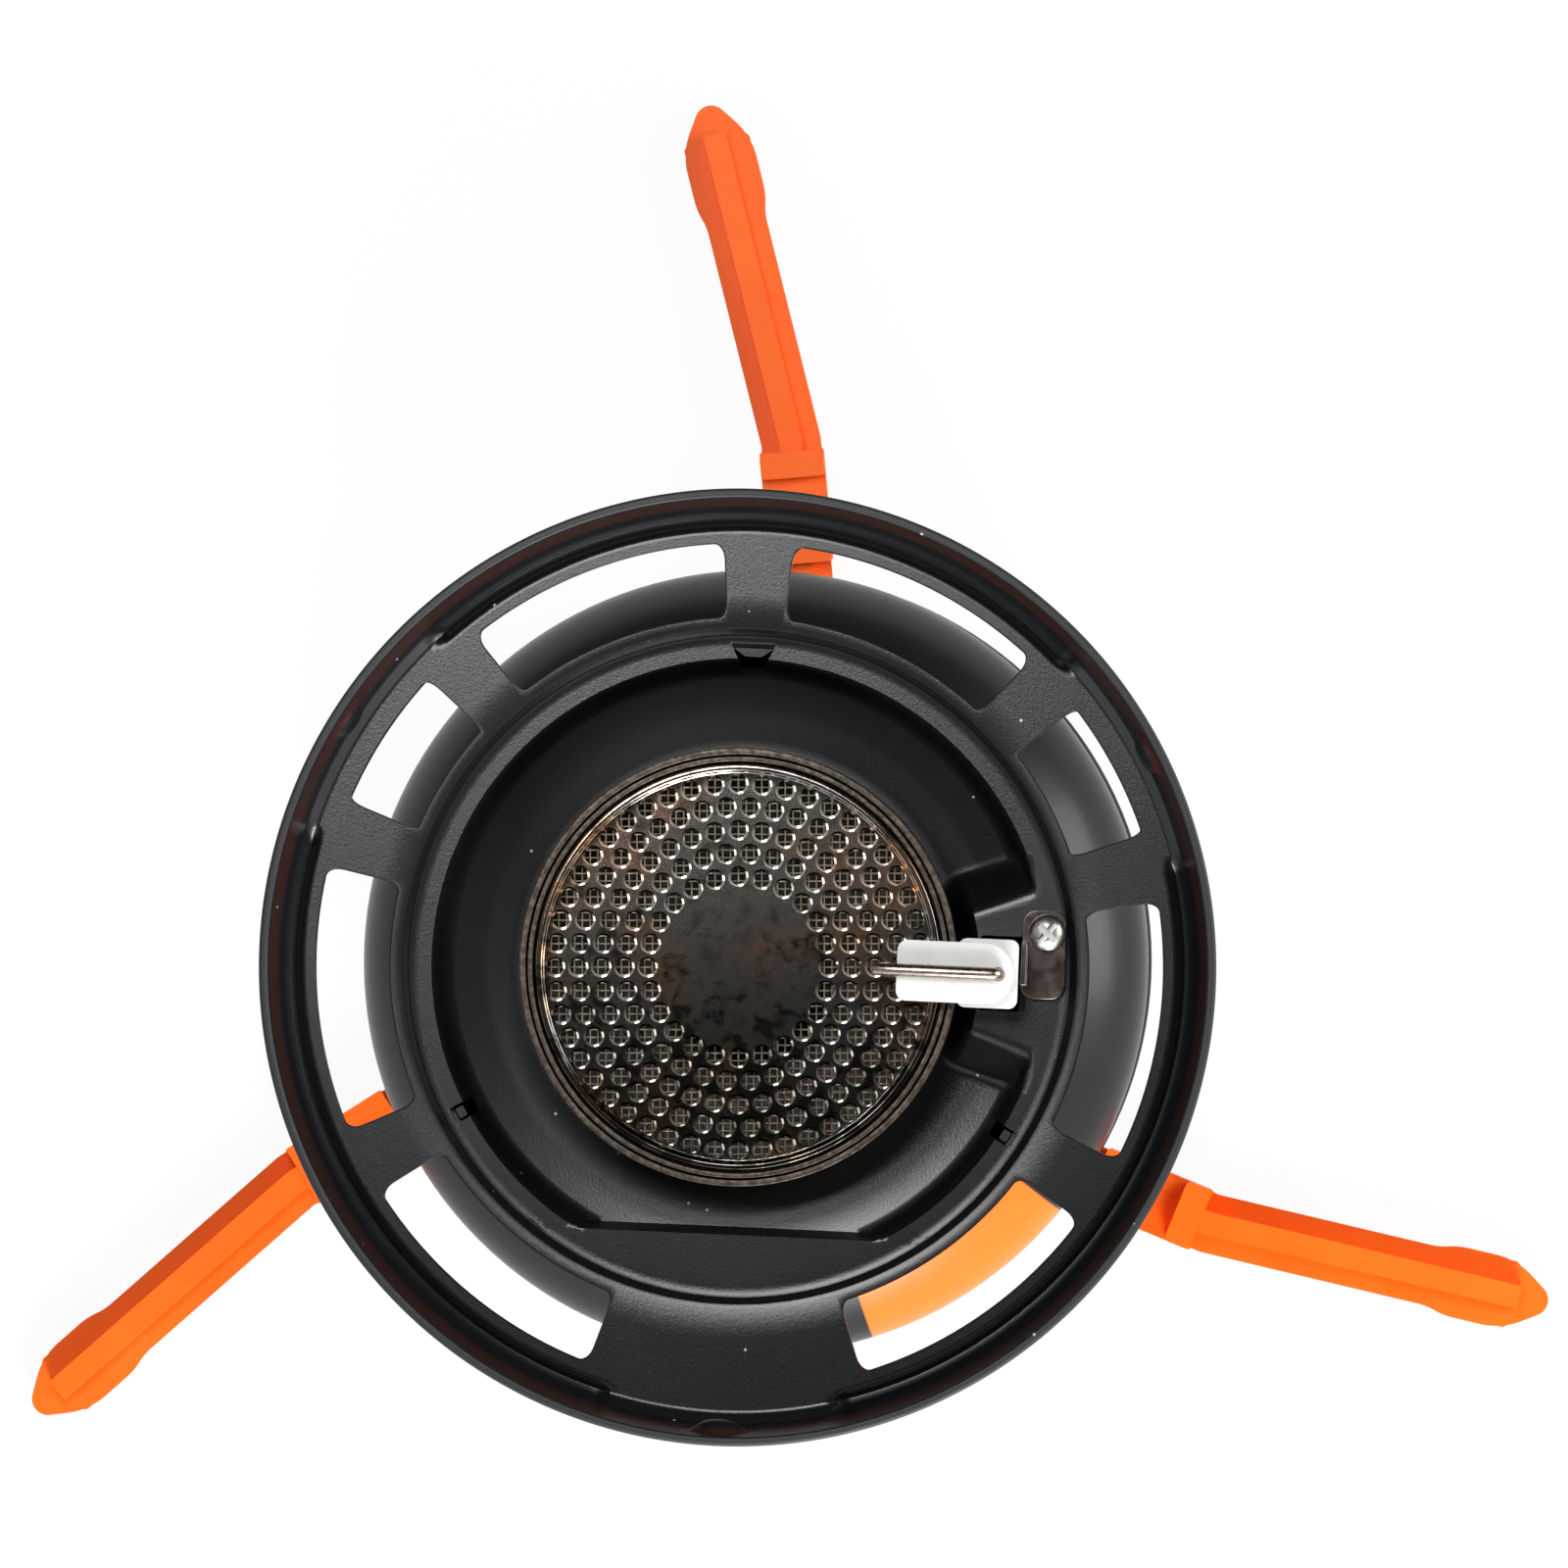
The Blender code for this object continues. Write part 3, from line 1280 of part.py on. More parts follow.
def build_pan():
    """The pressed pan: turned sheet, raised steps, windows, tab holes, beads and dimples."""
    pan = turned("burner_pan", pan_profile(), PAN_SIDES, ring=False)
    skin = pan.modifiers.new("sheet", "SOLIDIFY")
    skin.thickness = SHEET
    skin.offset = 1
    skin.use_even_offset = True
    merged = LEDGE_RADIUS + SHEET / 2
    hollow = LEDGE_RADIUS + POCKET_SKIN
    raised_pocket(
        pan,
        "front_step",
        front_step_outline(FRONT_EDGE, merged),
        front_step_outline(FRONT_EDGE + SHEET, hollow),
    )
    inset = math.degrees(2 * SHEET / LEDGE_RADIUS)
    raised_pocket(
        pan,
        "plateau",
        sector(PLATEAU_INNER, merged, PLATEAU_CENTRE, PLATEAU_ANGLE, PLATEAU_CORNER),
        sector(
            PLATEAU_INNER + SHEET,
            hollow,
            PLATEAU_CENTRE,
            PLATEAU_ANGLE - inset,
            PLATEAU_CORNER - SHEET / 2,
        ),
    )
    low, high = DECK - SHEET - OVERRUN, DECK + OVERRUN
    for index, (centre, width) in enumerate(WINDOWS):
        outline = sector(WINDOW_INNER, WINDOW_OUTER, centre, width, WINDOW_CORNER)
        cut(pan, plate(f"window_{index + 1}", outline, low, high))
    for index in range(len(TAB_ANGLES)):
        outline = tab_outline(index, TAB_HOLE_INNER, TAB_HOLE_OUTER, 0)
        cut(pan, plate(f"tab_hole_{index + 1}", outline, PAN_FLOOR - SHEET, LEDGE + OVERRUN))
    slot_low = (SLOT_START, ELECTRODE_SIDE - SLOT_WIDTH / 2)
    slot_high = (SLOT_END, ELECTRODE_SIDE + SLOT_WIDTH / 2)
    slot = plate("electrode_slot", rounded_box(slot_low, slot_high, GAP), PAN_FLOOR, LEDGE + OVERRUN)
    screw_hole = rod(
        "bracket_screw_hole",
        SCREW_RADIUS + GAP,
        (*SCREW_PLACE, PAN_FLOOR),
        (*SCREW_PLACE, LEDGE + OVERRUN),
        PIN_SIDES,
    )
    cut(pan, slot, screw_hole)
    for index, centre in enumerate(BEAD_CENTRES):
        outline = sector(BEAD_INNER, BEAD_OUTER, centre, BEAD_ANGLE, BEAD_CORNER, steps=BEAD_STEPS)
        cut(pan, plate(f"bead_{index + 1}", outline, DECK - BEAD_DEPTH, DECK + OVERRUN))
    for index, angle in enumerate(DIMPLE_ANGLES):
        wall = WALL_FOOT_RADIUS + SHEET * 2 / 3
        tip = WALL_FOOT_RADIUS + SHEET / 3 - DIMPLE_DEPTH
        half = DIMPLE_WIDTH / 2
        bump = plate(
            f"dimple_{index + 1}",
            [(wall, -half), (wall, half), (tip, half / 2), (tip, -half / 2)],
            PAN_FLOOR + DIMPLE_LOW,
            PAN_FLOOR + DIMPLE_HIGH,
        )
        join(pan, turn_about_axis(bump, angle))
    finish(pan, BLACK_METAL, 0.4, 0.8)


def build_electrode():
    """Ceramic insulator through the slot, its wire, and the bracket with its screw."""
    side = ELECTRODE_SIDE
    half = SLAB_WIDTH / 2
    insulator = plate(
        "electrode_insulator",
        rounded_box((SLAB_START, side - half), (SLAB_END, side + half), SLAB_CORNER),
        SLAB_BOTTOM,
        SLAB_TOP,
    )
    wide = BASE_WIDTH / 2
    base = block(
        "insulator_base",
        (BASE_START, side - wide, LEDGE + GAP),
        (BASE_END, side + wide, SLAB_BOTTOM + SLAB_THICKNESS / 3),
    )
    narrow = SLOT_WIDTH / 2 - STEM_INSET
    foot = block(
        "insulator_foot",
        (SLOT_START + STEM_INSET, side - narrow, INSULATOR_BOTTOM),
        (BASE_END - STEM_INSET / 2, side + narrow, SLAB_BOTTOM),
    )
    bore = rod(
        "insulator_bore",
        ELECTRODE_BORE,
        (ELECTRODE_BEND, side, INSULATOR_BOTTOM - OVERRUN),
        (ELECTRODE_BEND, side, SLAB_TOP + OVERRUN),
        PIN_SIDES,
    )
    finish(cut(join(insulator, base, foot), bore), CERAMIC, 0.3, 0.0)

    level = SLAB_TOP + GAP + ELECTRODE_RADIUS
    curve = ELECTRODE_CURVE
    tip = (ELECTRODE_TIP, side, level - ELECTRODE_TIP_DROP)
    electrode = wire(
        "electrode_wire",
        [
            tip,
            (ELECTRODE_TIP + ELECTRODE_SLOPE, side, level),
            (ELECTRODE_BEND - curve, side, level),
            (ELECTRODE_BEND - curve * CURVE_SHARES[0], side, level - curve * CURVE_SHARES[1]),
            (ELECTRODE_BEND, side, level - curve),
            (ELECTRODE_BEND, side, INSULATOR_BOTTOM - ELECTRODE_PIN),
        ],
        ELECTRODE_RADIUS,
        WIRE_STEPS,
    )
    finish(electrode, STEEL, 0.25, 1.0)

    plate_foot = LEDGE + GAP
    plate_top = plate_foot + BRACKET_SHEET
    near, far = BRACKET_SIDES
    bracket = plate(
        "electrode_bracket",
        rounded_box((BRACKET_START, near), (BRACKET_END, far), BRACKET_CORNER),
        plate_foot,
        plate_top,
    )
    flange = block(
        "bracket_flange",
        (BRACKET_START, near + BRACKET_CORNER, plate_foot + BRACKET_SHEET / 3),
        (BRACKET_START + BRACKET_SHEET, BRACKET_FLANGE_SIDE, plate_foot + BRACKET_FLANGE_HEIGHT),
    )
    hole = rod(
        "bracket_hole",
        SCREW_RADIUS + GAP,
        (*SCREW_PLACE, plate_foot - OVERRUN),
        (*SCREW_PLACE, plate_top + OVERRUN),
        PIN_SIDES,
    )
    finish(cut(join(bracket, flange), hole), STEEL, 0.2, 1.0)
    build_bracket_screw(plate_top)


def build_bracket_screw(plate_top):
    """Cross-recess screw through the bracket and the pan, into the housing below."""
    head_foot = plate_top + GAP
    head_top = head_foot + SCREW_HEAD_HEIGHT
    screw = turned(
        "bracket_screw",
        [
            (0, head_top),
            (SCREW_HEAD_RADIUS * 2 / 3, head_top),
            (SCREW_HEAD_RADIUS, head_foot + SCREW_HEAD_HEIGHT / 3),
            (SCREW_HEAD_RADIUS, head_foot),
            (SCREW_RADIUS, head_foot),
            (SCREW_RADIUS, head_foot - SCREW_LENGTH),
            (0, head_foot - SCREW_LENGTH),
        ],
        PIN_SIDES,
        ring=False,
    )
    screw.location = (*SCREW_PLACE, 0)
    x, y = SCREW_PLACE
    wide, long = CROSS_WIDTH / 2, CROSS_LENGTH / 2
    for label, across, up in (("x", long, wide), ("y", wide, long)):
        slot = block(
            f"screw_slot_{label}",
            (x - across, y - up, head_top - CROSS_DEPTH),
            (x + across, y + up, head_top + OVERRUN),
        )
        cut(screw, slot)
    finish(screw, STEEL, 0.3, 1.0)


def build_housing():
    """Nylon cup under the pan: vents, the igniter's hole, three snap tabs and the screw's boss."""
    top = LEDGE - SHEET - GAP
    shoulder = HOUSING_BOTTOM + HOUSING_SHOULDER_RISE
    waist = HOUSING_BOTTOM + HOUSING_WAIST_RISE
    wall = HOUSING_WALL
    housing = turned(
        "lower_housing",
        [
            (HOUSING_RADIUS, top),
            (HOUSING_RADIUS, shoulder),
            (HOUSING_WAIST, waist),
            (HOUSING_FLOOR_RADIUS + wall, HOUSING_BOTTOM + wall),
            (HOUSING_FLOOR_RADIUS, HOUSING_BOTTOM),
            (HOUSING_HOLE, HOUSING_BOTTOM),
            (HOUSING_HOLE, HOUSING_BOTTOM + wall),
            (HOUSING_FLOOR_RADIUS - wall / 2, HOUSING_BOTTOM + wall),
            (HOUSING_WAIST - wall, waist + wall / 2),
            (HOUSING_RADIUS - wall, shoulder),
            (HOUSING_RADIUS - wall, top),
        ],
        PAN_SIDES,
    )
    hole = rod(
        "igniter_hole",
        PIEZO_RADIUS + GAP,
        (0, -HOUSING_FLOOR_RADIUS + OVERRUN, PIEZO_HEIGHT),
        (0, -HOUSING_RADIUS - OVERRUN, PIEZO_HEIGHT),
        SMALL_SIDES,
    )
    cut(housing, hole)
    for index in range(VENT_COUNT):
        low = HOUSING_BOTTOM + VENT_RISE
        vent = block(
            f"vent_{index + 1}",
            (HOUSING_FLOOR_RADIUS, -VENT_WIDTH / 2, low),
            (HOUSING_RADIUS + OVERRUN, VENT_WIDTH / 2, low + VENT_HEIGHT),
        )
        cut(housing, turn_about_axis(vent, VENT_START + VENT_STEP * index))
    for index in range(len(TAB_ANGLES)):
        root = HOUSING_RADIUS - HOUSING_WALL + TAB_ROOT / 2
        tab = plate(
            f"snap_tab_{index + 1}",
            tab_outline(index, TAB_HOLE_INNER + GAP, TAB_HOLE_OUTER, GAP),
            top - TAB_DEPTH,
            LEDGE + TAB_RISE,
        )
        base = plate(
            f"snap_tab_root_{index + 1}",
            tab_outline(index, TAB_HOLE_INNER + TAB_ROOT, root + GAP, GAP),
            top - TAB_DEPTH,
            top - GAP,
        )
        join(housing, tab, base)
    boss_top = LEDGE - POCKET_SKIN - GAP
    boss_foot = boss_top - SCREW_BOSS_DEPTH
    boss = rod(
        "screw_boss",
        SCREW_BOSS_RADIUS,
        (*SCREW_PLACE, boss_foot),
        (*SCREW_PLACE, boss_top),
        PIN_SIDES,
    )
    pilot = rod(
        "screw_pilot",
        SCREW_RADIUS + GAP,
        (*SCREW_PLACE, boss_foot - OVERRUN),
        (*SCREW_PLACE, boss_top + OVERRUN),
        PIN_SIDES,
    )
    cut(join(housing, boss), pilot)
    finish(housing, BLACK_PLASTIC, 0.5, 0.0)


def build_igniter():
    """Piezo igniter in the housing's front wall, its button and spring, and the lead."""
    body = turned(
        "piezo_body",
        [
            (0, PIEZO_BORE_END),
            (PIEZO_BORE, PIEZO_BORE_END),
            (PIEZO_BORE, PIEZO_MOUTH),
            (PIEZO_RADIUS, PIEZO_MOUTH),
            (PIEZO_RADIUS, PIEZO_REAR),
            (0, PIEZO_REAR),
        ],
        SMALL_SIDES,
        ring=False,
    )
    finish(lie_along_y(body, PIEZO_HEIGHT), BLACK_PLASTIC, 0.45, 0.0)

    collar = rod(
        "piezo_collar",
        PIEZO_COLLAR_RADIUS,
        (0, -PIEZO_COLLAR_START, PIEZO_HEIGHT),
        (0, -PIEZO_COLLAR_START - PIEZO_COLLAR_LENGTH, PIEZO_HEIGHT),
        SMALL_SIDES,
    )
    collar_bore = rod(
        "piezo_collar_bore",
        PIEZO_RADIUS + GAP,
        (0, -PIEZO_COLLAR_START + OVERRUN, PIEZO_HEIGHT),
        (0, -PIEZO_COLLAR_START - PIEZO_COLLAR_LENGTH - OVERRUN, PIEZO_HEIGHT),
        SMALL_SIDES,
    )
    finish(cut(collar, collar_bore), BLACK_PLASTIC, 0.4, 0.0)

    button = turned(
        "piezo_button",
        [
            (0, BUTTON_END),
            (BUTTON_HEAD_RADIUS - BUTTON_ROUND, BUTTON_END),
            (BUTTON_HEAD_RADIUS, BUTTON_END - BUTTON_ROUND),
            (BUTTON_HEAD_RADIUS, BUTTON_HEAD_START),
            (BUTTON_RADIUS, BUTTON_HEAD_START),
            (BUTTON_RADIUS, BUTTON_INNER_END),
            (0, BUTTON_INNER_END),
        ],
        SMALL_SIDES,
        ring=False,
    )
    finish(lie_along_y(button, PIEZO_HEIGHT), BLACK_PLASTIC, 0.35, 0.0)

    spring = wire(
        "piezo_spring",
        coil(
            PIEZO_SPRING_RADIUS,
            PIEZO_BORE_END + GAP + PIEZO_WIRE,
            BUTTON_INNER_END - GAP - PIEZO_WIRE,
            PIEZO_TURNS,
            PIEZO_WIRE,
        ),
        PIEZO_WIRE,
        COIL_STEPS,
    )
    finish(lie_along_y(spring, PIEZO_HEIGHT), STEEL, 0.3, 1.0)
    build_lead()


def build_lead():
    """Rubber boot on the electrode's pin, and the insulated lead from it to the igniter."""
    pin_end = INSULATOR_BOTTOM - ELECTRODE_PIN
    boot_bottom = pin_end - GAP - BOOT_TIP
    boot_top = boot_bottom + BOOT_LENGTH - GAP
    boot = turned(
        "lead_boot",
        [
            (0, pin_end - GAP),
            (ELECTRODE_RADIUS + GAP, pin_end - GAP),
            (ELECTRODE_RADIUS + GAP, boot_top),
            (BOOT_RADIUS, boot_top),
            (BOOT_RADIUS, boot_bottom),
            (0, boot_bottom),
        ],
        SMALL_SIDES,
        ring=False,
    )
    boot.location = (ELECTRODE_BEND, ELECTRODE_SIDE, 0)
    finish(boot, RUBBER, 0.7, 0.0)

    lead = wire(
        "ignition_lead",
        lead_route((ELECTRODE_BEND, ELECTRODE_SIDE, boot_bottom - GAP)),
        LEAD_RADIUS,
        WIRE_STEPS,
    )
    finish(lead, BLACK_PLASTIC, 0.5, 0.0)


def lead_route(start):
    """The lead's route inside the housing, by hand, then smoothed through its points."""
    x, y, z = start
    end_y = -(PIEZO_REAR + PIEZO_BORE_END) / 2
    end = (PIEZO_RADIUS + GAP, end_y, PIEZO_HEIGHT)
    route = [
        (x, y, z),
        (x, y - 0.0004, z - 0.0015),
        (x - 0.0008, y - 0.0030, z - 0.0032),
        (x - 0.0035, y - 0.0085, z - 0.0038),
        (x - 0.0085, y - 0.0150, z - 0.0034),
        (x - 0.0140, y - 0.0198, z - 0.0024),
        (end[0] + 0.0050, end_y - 0.0006, end[2] - 0.0006),
        (end[0] + 0.0020, end_y, end[2]),
        end,
    ]
    points = [Vector(place) for place in route]
    smooth = []
    for index in range(len(points) - 1):
        before = points[max(index - 1, 0)]
        first, second = points[index], points[index + 1]
        after = points[min(index + 2, len(points) - 1)]
        for step in range(LEAD_STEPS):
            t = step / LEAD_STEPS
            smooth.append(
                (
                    2 * first
                    + (second - before) * t
                    + (2 * before - 5 * first + 4 * second - after) * t * t
                    + (3 * first - before - 3 * second + after) * t * t * t
                )
                / 2
            )
    smooth.append(points[-1])
    return [tuple(point) for point in smooth]


build_stabiliser()
build_canister()
build_valve()
build_burner()
build_pan()
build_electrode()
build_housing()
build_igniter()
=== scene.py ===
"""Backpacking stove: a burner in a pressed, black anodised aluminium pan, screwed on a painted
steel gas canister that clips into a folding nylon stabiliser. Sheet parts are pressed and
spun, valve parts are turned brass, and plastic parts are moulded, clipped and riveted.
"""

import math

import bmesh
import bpy
from mathutils import Matrix, Vector


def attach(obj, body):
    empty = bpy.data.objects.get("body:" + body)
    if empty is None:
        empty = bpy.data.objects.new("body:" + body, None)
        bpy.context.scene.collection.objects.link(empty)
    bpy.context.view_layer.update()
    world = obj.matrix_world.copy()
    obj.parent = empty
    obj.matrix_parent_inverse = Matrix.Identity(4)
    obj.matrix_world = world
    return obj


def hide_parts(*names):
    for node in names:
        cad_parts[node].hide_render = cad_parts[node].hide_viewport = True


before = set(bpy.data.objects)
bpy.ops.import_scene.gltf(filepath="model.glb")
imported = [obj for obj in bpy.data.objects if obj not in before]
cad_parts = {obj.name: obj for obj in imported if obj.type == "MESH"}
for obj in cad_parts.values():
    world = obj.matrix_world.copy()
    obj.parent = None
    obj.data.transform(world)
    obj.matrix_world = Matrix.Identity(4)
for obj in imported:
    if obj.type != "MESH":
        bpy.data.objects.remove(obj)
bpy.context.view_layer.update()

# Stabiliser: a flat hub disc with one fixed leg, and two legs that fold on rivets. Moulded in
# glass-filled nylon, with a rib along each leg's thin outer flange and hooks that hold the
# canister's seam. Every edge has the small round that a mould leaves.
HUB_RADIUS, HUB_THICKNESS = 22.5, 2.0
LEG_FLOOR, LEG_TOP, RIB_TOP = 2.3, 4.5, 6.0
FLANGE_THINNED, SADDLE_END, HOOK_FACES = 1.15, 59.0, (45.61, 55.63)
LEG_LINE = -8.05
LEG_PIVOT, LEG_KINK, LEG_REACH, LEG_BEND = 14.0, 60.0, 100.4, 9.1
TRIPOD_TURN = 97.4
SIDE_LEGS = {
    "left": (Vector((-16.011, -2.108, 0)), 214.7),
    "right": (Vector((9.831, -12.812, 0)), -19.9),
}


def linear(code):
    """A colour written as six hex digits, as the linear values that a node takes."""
    parts = [int(code[place : place + 2], 16) / 255 for place in (0, 2, 4)]
    return (*(c / 12.92 if c <= 0.04045 else ((c + 0.055) / 1.055) ** 2.4 for c in parts), 1)


def add_node(tree, kind, inputs=None, **settings):
    """One node with its settings; an input takes a value, a socket, or a node for its output."""
    node = tree.nodes.new("ShaderNode" + kind)
    for name, value in settings.items():
        setattr(node, name, value)
    for name, value in (inputs or {}).items():
        if isinstance(value, bpy.types.Node):
            value = next(output for output in value.outputs if output.enabled)
        if isinstance(value, bpy.types.NodeSocket):
            tree.links.new(value, node.inputs[name])
        else:
            node.inputs[name].default_value = value
    return node


def new_material(name, **plain):
    """A material, its tree, and the place on the object in millimetres."""
    material = bpy.data.materials.new(name)
    material.use_nodes = True
    tree = material.node_tree
    for socket, value in plain.items():
        tree.nodes["Principled BSDF"].inputs[socket.replace("_", " ")].default_value = value
    metres = add_node(tree, "TexCoord").outputs["Object"]
    place = add_node(tree, "VectorMath", {"Vector": metres, "Scale": 1000.0}, operation="SCALE")
    return material, tree, place


def lay_finish(tree, colour, gloss=None, relief=None):
    """Feed the nodes that drive a finish's colour, roughness and relief to its shader."""
    shader = tree.nodes["Principled BSDF"]
    tree.links.new(colour.outputs[2], shader.inputs["Base Color"])
    for node, socket in ((gloss, "Roughness"), (relief, "Normal")):
        if node:
            tree.links.new(node.outputs[0], shader.inputs[socket])


def shift(bm, step):
    """Move a whole mesh by a step in millimetres."""
    bmesh.ops.translate(bm, vec=step, verts=bm.verts)


def swing(bm, degrees, axis="Z"):
    """Turn a whole mesh about an axis through the origin."""
    turn = Matrix.Rotation(math.radians(degrees), 3, axis)
    bmesh.ops.rotate(bm, cent=(0, 0, 0), matrix=turn, verts=bm.verts)


def round_off(bm, parts, size, segments, affect="EDGES"):
    """Round edges, or the corners of an outline, over a size in millimetres."""
    bmesh.ops.bevel(
        bm, geom=parts, offset=size, offset_type="OFFSET", segments=segments, profile=0.5,
        affect=affect, material=-1,
    )


def thicken(bm, height):
    """Raise a flat shape into a solid of that height."""
    raised = bmesh.ops.extrude_face_region(bm, geom=bm.faces[:])["geom"]
    top = [part for part in raised if isinstance(part, bmesh.types.BMVert)]
    bmesh.ops.translate(bm, vec=(0, 0, height), verts=top)
    bmesh.ops.recalc_face_normals(bm, faces=bm.faces)


def prism(outline, low, high, rounding=0.0, segments=4):
    """A flat outline of (x, y) or (x, y, rounding) raised from one height to another."""
    bm = bmesh.new()
    corners = [bm.verts.new((point[0], point[1], low)) for point in outline]
    bm.faces.new(corners)
    wanted = [point[2] if len(point) > 2 else rounding for point in outline]
    for offset in sorted({value for value in wanted if value}):
        chosen = [corner for corner, value in zip(corners, wanted) if value == offset]
        round_off(bm, chosen, offset, segments, "VERTICES")
    thicken(bm, high - low)
    return bm


def oblong(left, right, front, back):
    """The outline of an oblong, from corner to corner."""
    return [(left, front), (right, front), (right, back), (left, back)]


def combine(base, tool, operation="UNION"):
    """Join one mesh to another, or cut it with another, and hand back the result."""
    worked = []
    for bm in (base, tool):
        mesh = bpy.data.meshes.new("work")
        bm.to_mesh(mesh)
        bm.free()
        worked.append(bpy.data.objects.new("work", mesh))
        bpy.context.scene.collection.objects.link(worked[-1])
    step = worked[0].modifiers.new("work", "BOOLEAN")
    step.object, step.operation, step.solver = worked[1], operation, "MANIFOLD"
    bpy.context.view_layer.update()
    result = bmesh.new()
    result.from_object(worked[0], bpy.context.evaluated_depsgraph_get())
    for obj in worked:
        bpy.data.objects.remove(obj, do_unlink=True)
    return result


def keep_piece(name, bm, material, body, *nodes, slot, sharp=38, soften=0.0):
    """Make a mesh in millimetres a piece that rides on a body and stands for its nodes."""
    bmesh.ops.scale(bm, vec=(0.001, 0.001, 0.001), verts=bm.verts)
    mesh = bpy.data.meshes.new(name)
    bm.to_mesh(mesh)
    bm.free()
    mesh.materials.append(material)
    mesh.shade_smooth()
    piece = bpy.data.objects.new(name, mesh)
    bpy.context.scene.collection.objects.link(piece)
    if soften:
        edge = piece.modifiers.new("moulded_edge", "BEVEL")
        edge.width, edge.segments, edge.limit_method = soften / 1000, 3, "ANGLE"
        edge.angle_limit = math.radians(35)
        edge.harden_normals = True
    else:
        mesh.set_sharp_from_angle(angle=math.radians(sharp))
    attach(piece, body)
    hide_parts(*nodes)
    return piece


def disc(radius, low, high, centre, sides=48):
    """An upright round bar about a centre, between two heights."""
    bm = bmesh.new()
    bmesh.ops.create_cone(
        bm,
        cap_ends=True,
        segments=sides,
        radius1=radius,
        radius2=radius,
        depth=high - low,
        matrix=Matrix.Translation(centre + Vector((0, 0, (low + high) / 2))),
    )
    return bm


def leg_strip(start, end, width, low, high, rounding=0.0):
    """A straight strip along the leg's line, before the leg is bent."""
    return prism(oblong(start, end, -width / 2, width / 2), low, high, rounding)


def leg_shape(start):
    """A leg along +X: flange with a wider head, rib, saddle, two hooks and a foot pad."""
    head = LEG_REACH - 13.6
    half, wide, tip = 3.5, 4.15, 1.0
    side = [(start, half), (46.0, half), (46.0, 3.75), (58.6, 3.75), (SADDLE_END, half, 0.3)]
    side += [(head, half, 1.0), (head + 1.9, wide, 1.2), (LEG_REACH - 4.6, wide, 2.2)]
    side.append((LEG_REACH, tip, 0.9))
    outline = side + [(x, -y, *corner) for x, y, *corner in reversed(side)]
    leg = prism(outline, LEG_FLOOR, LEG_TOP)
    above_flange = leg_strip(SADDLE_END, LEG_REACH + 1, 12, LEG_TOP - FLANGE_THINNED, LEG_TOP + 1)
    leg = combine(leg, above_flange, "DIFFERENCE")
    rib_start = max(start, LEG_PIVOT + 10)
    leg = combine(leg, leg_strip(rib_start, LEG_REACH - 3.5, 2.7, LEG_FLOOR + 0.5, RIB_TOP))
    leg = combine(leg, leg_strip(46.2, 58.8, 7.45, LEG_FLOOR + 1, RIB_TOP - 0.05))
    for face in HOOK_FACES:
        leg = combine(leg, leg_strip(face, face + 3.0, 7.4, LEG_FLOOR + 1.4, RIB_TOP + 2.6, 0.5))
    pad = [(LEG_REACH - 11, 3.9), (LEG_REACH - 4.5, 3.9), (LEG_REACH - 0.6, tip)]
    pad += [(x, -y) for x, y in reversed(pad)]
    return combine(leg, prism(pad, 0.0, LEG_FLOOR + 1))


def bend_leg(bm):
    """Bend the outer part of a leg sideways at its kink, and set the leg on its own line."""
    bmesh.ops.bisect_plane(
        bm,
        geom=bm.verts[:] + bm.edges[:] + bm.faces[:],
        dist=0.0001,
        plane_co=(LEG_KINK, 0, 0),
        plane_no=(1, 0, 0),
    )
    kink = [v for v in bm.verts if abs(v.co.x - LEG_KINK) < 0.001]
    beyond = [v for v in bm.verts if v.co.x > LEG_KINK + 0.001]
    for verts, share in ((kink, 0.5), (beyond, 1.0)):
        turn = Matrix.Rotation(math.radians(LEG_BEND) * share, 3, "Z")
        bmesh.ops.rotate(bm, cent=(LEG_KINK, 0, 0), matrix=turn, verts=verts)
    shift(bm, (0, LEG_LINE, 0))
    return bm


# Glass-filled nylon, moulded in bright orange: an even, slightly silky skin with a fine spark-
# eroded grain of 0.25 mm, which gives a soft sheen on the rounded edges.
moulded_nylon, tree, place = new_material("moulded_orange_nylon", Specular_IOR_Level=0.15)
cloud = add_node(tree, "TexNoise", {"Vector": place, "Scale": 0.12, "Detail": 3.0})
tint = add_node(tree, "Mix", {0: cloud, 6: linear("F25C0E"), 7: linear("FC6C18")}, data_type="RGBA")
grain = add_node(tree, "TexNoise", {"Vector": place, "Scale": 4.0, "Detail": 2.0})
sheen = add_node(tree, "MapRange", {"Value": grain, "To Min": 0.36, "To Max": 0.5})
bump = add_node(tree, "Bump", {"Height": grain, "Strength": 0.35, "Distance": 3e-5})
lay_finish(tree, tint, sheen, bump)

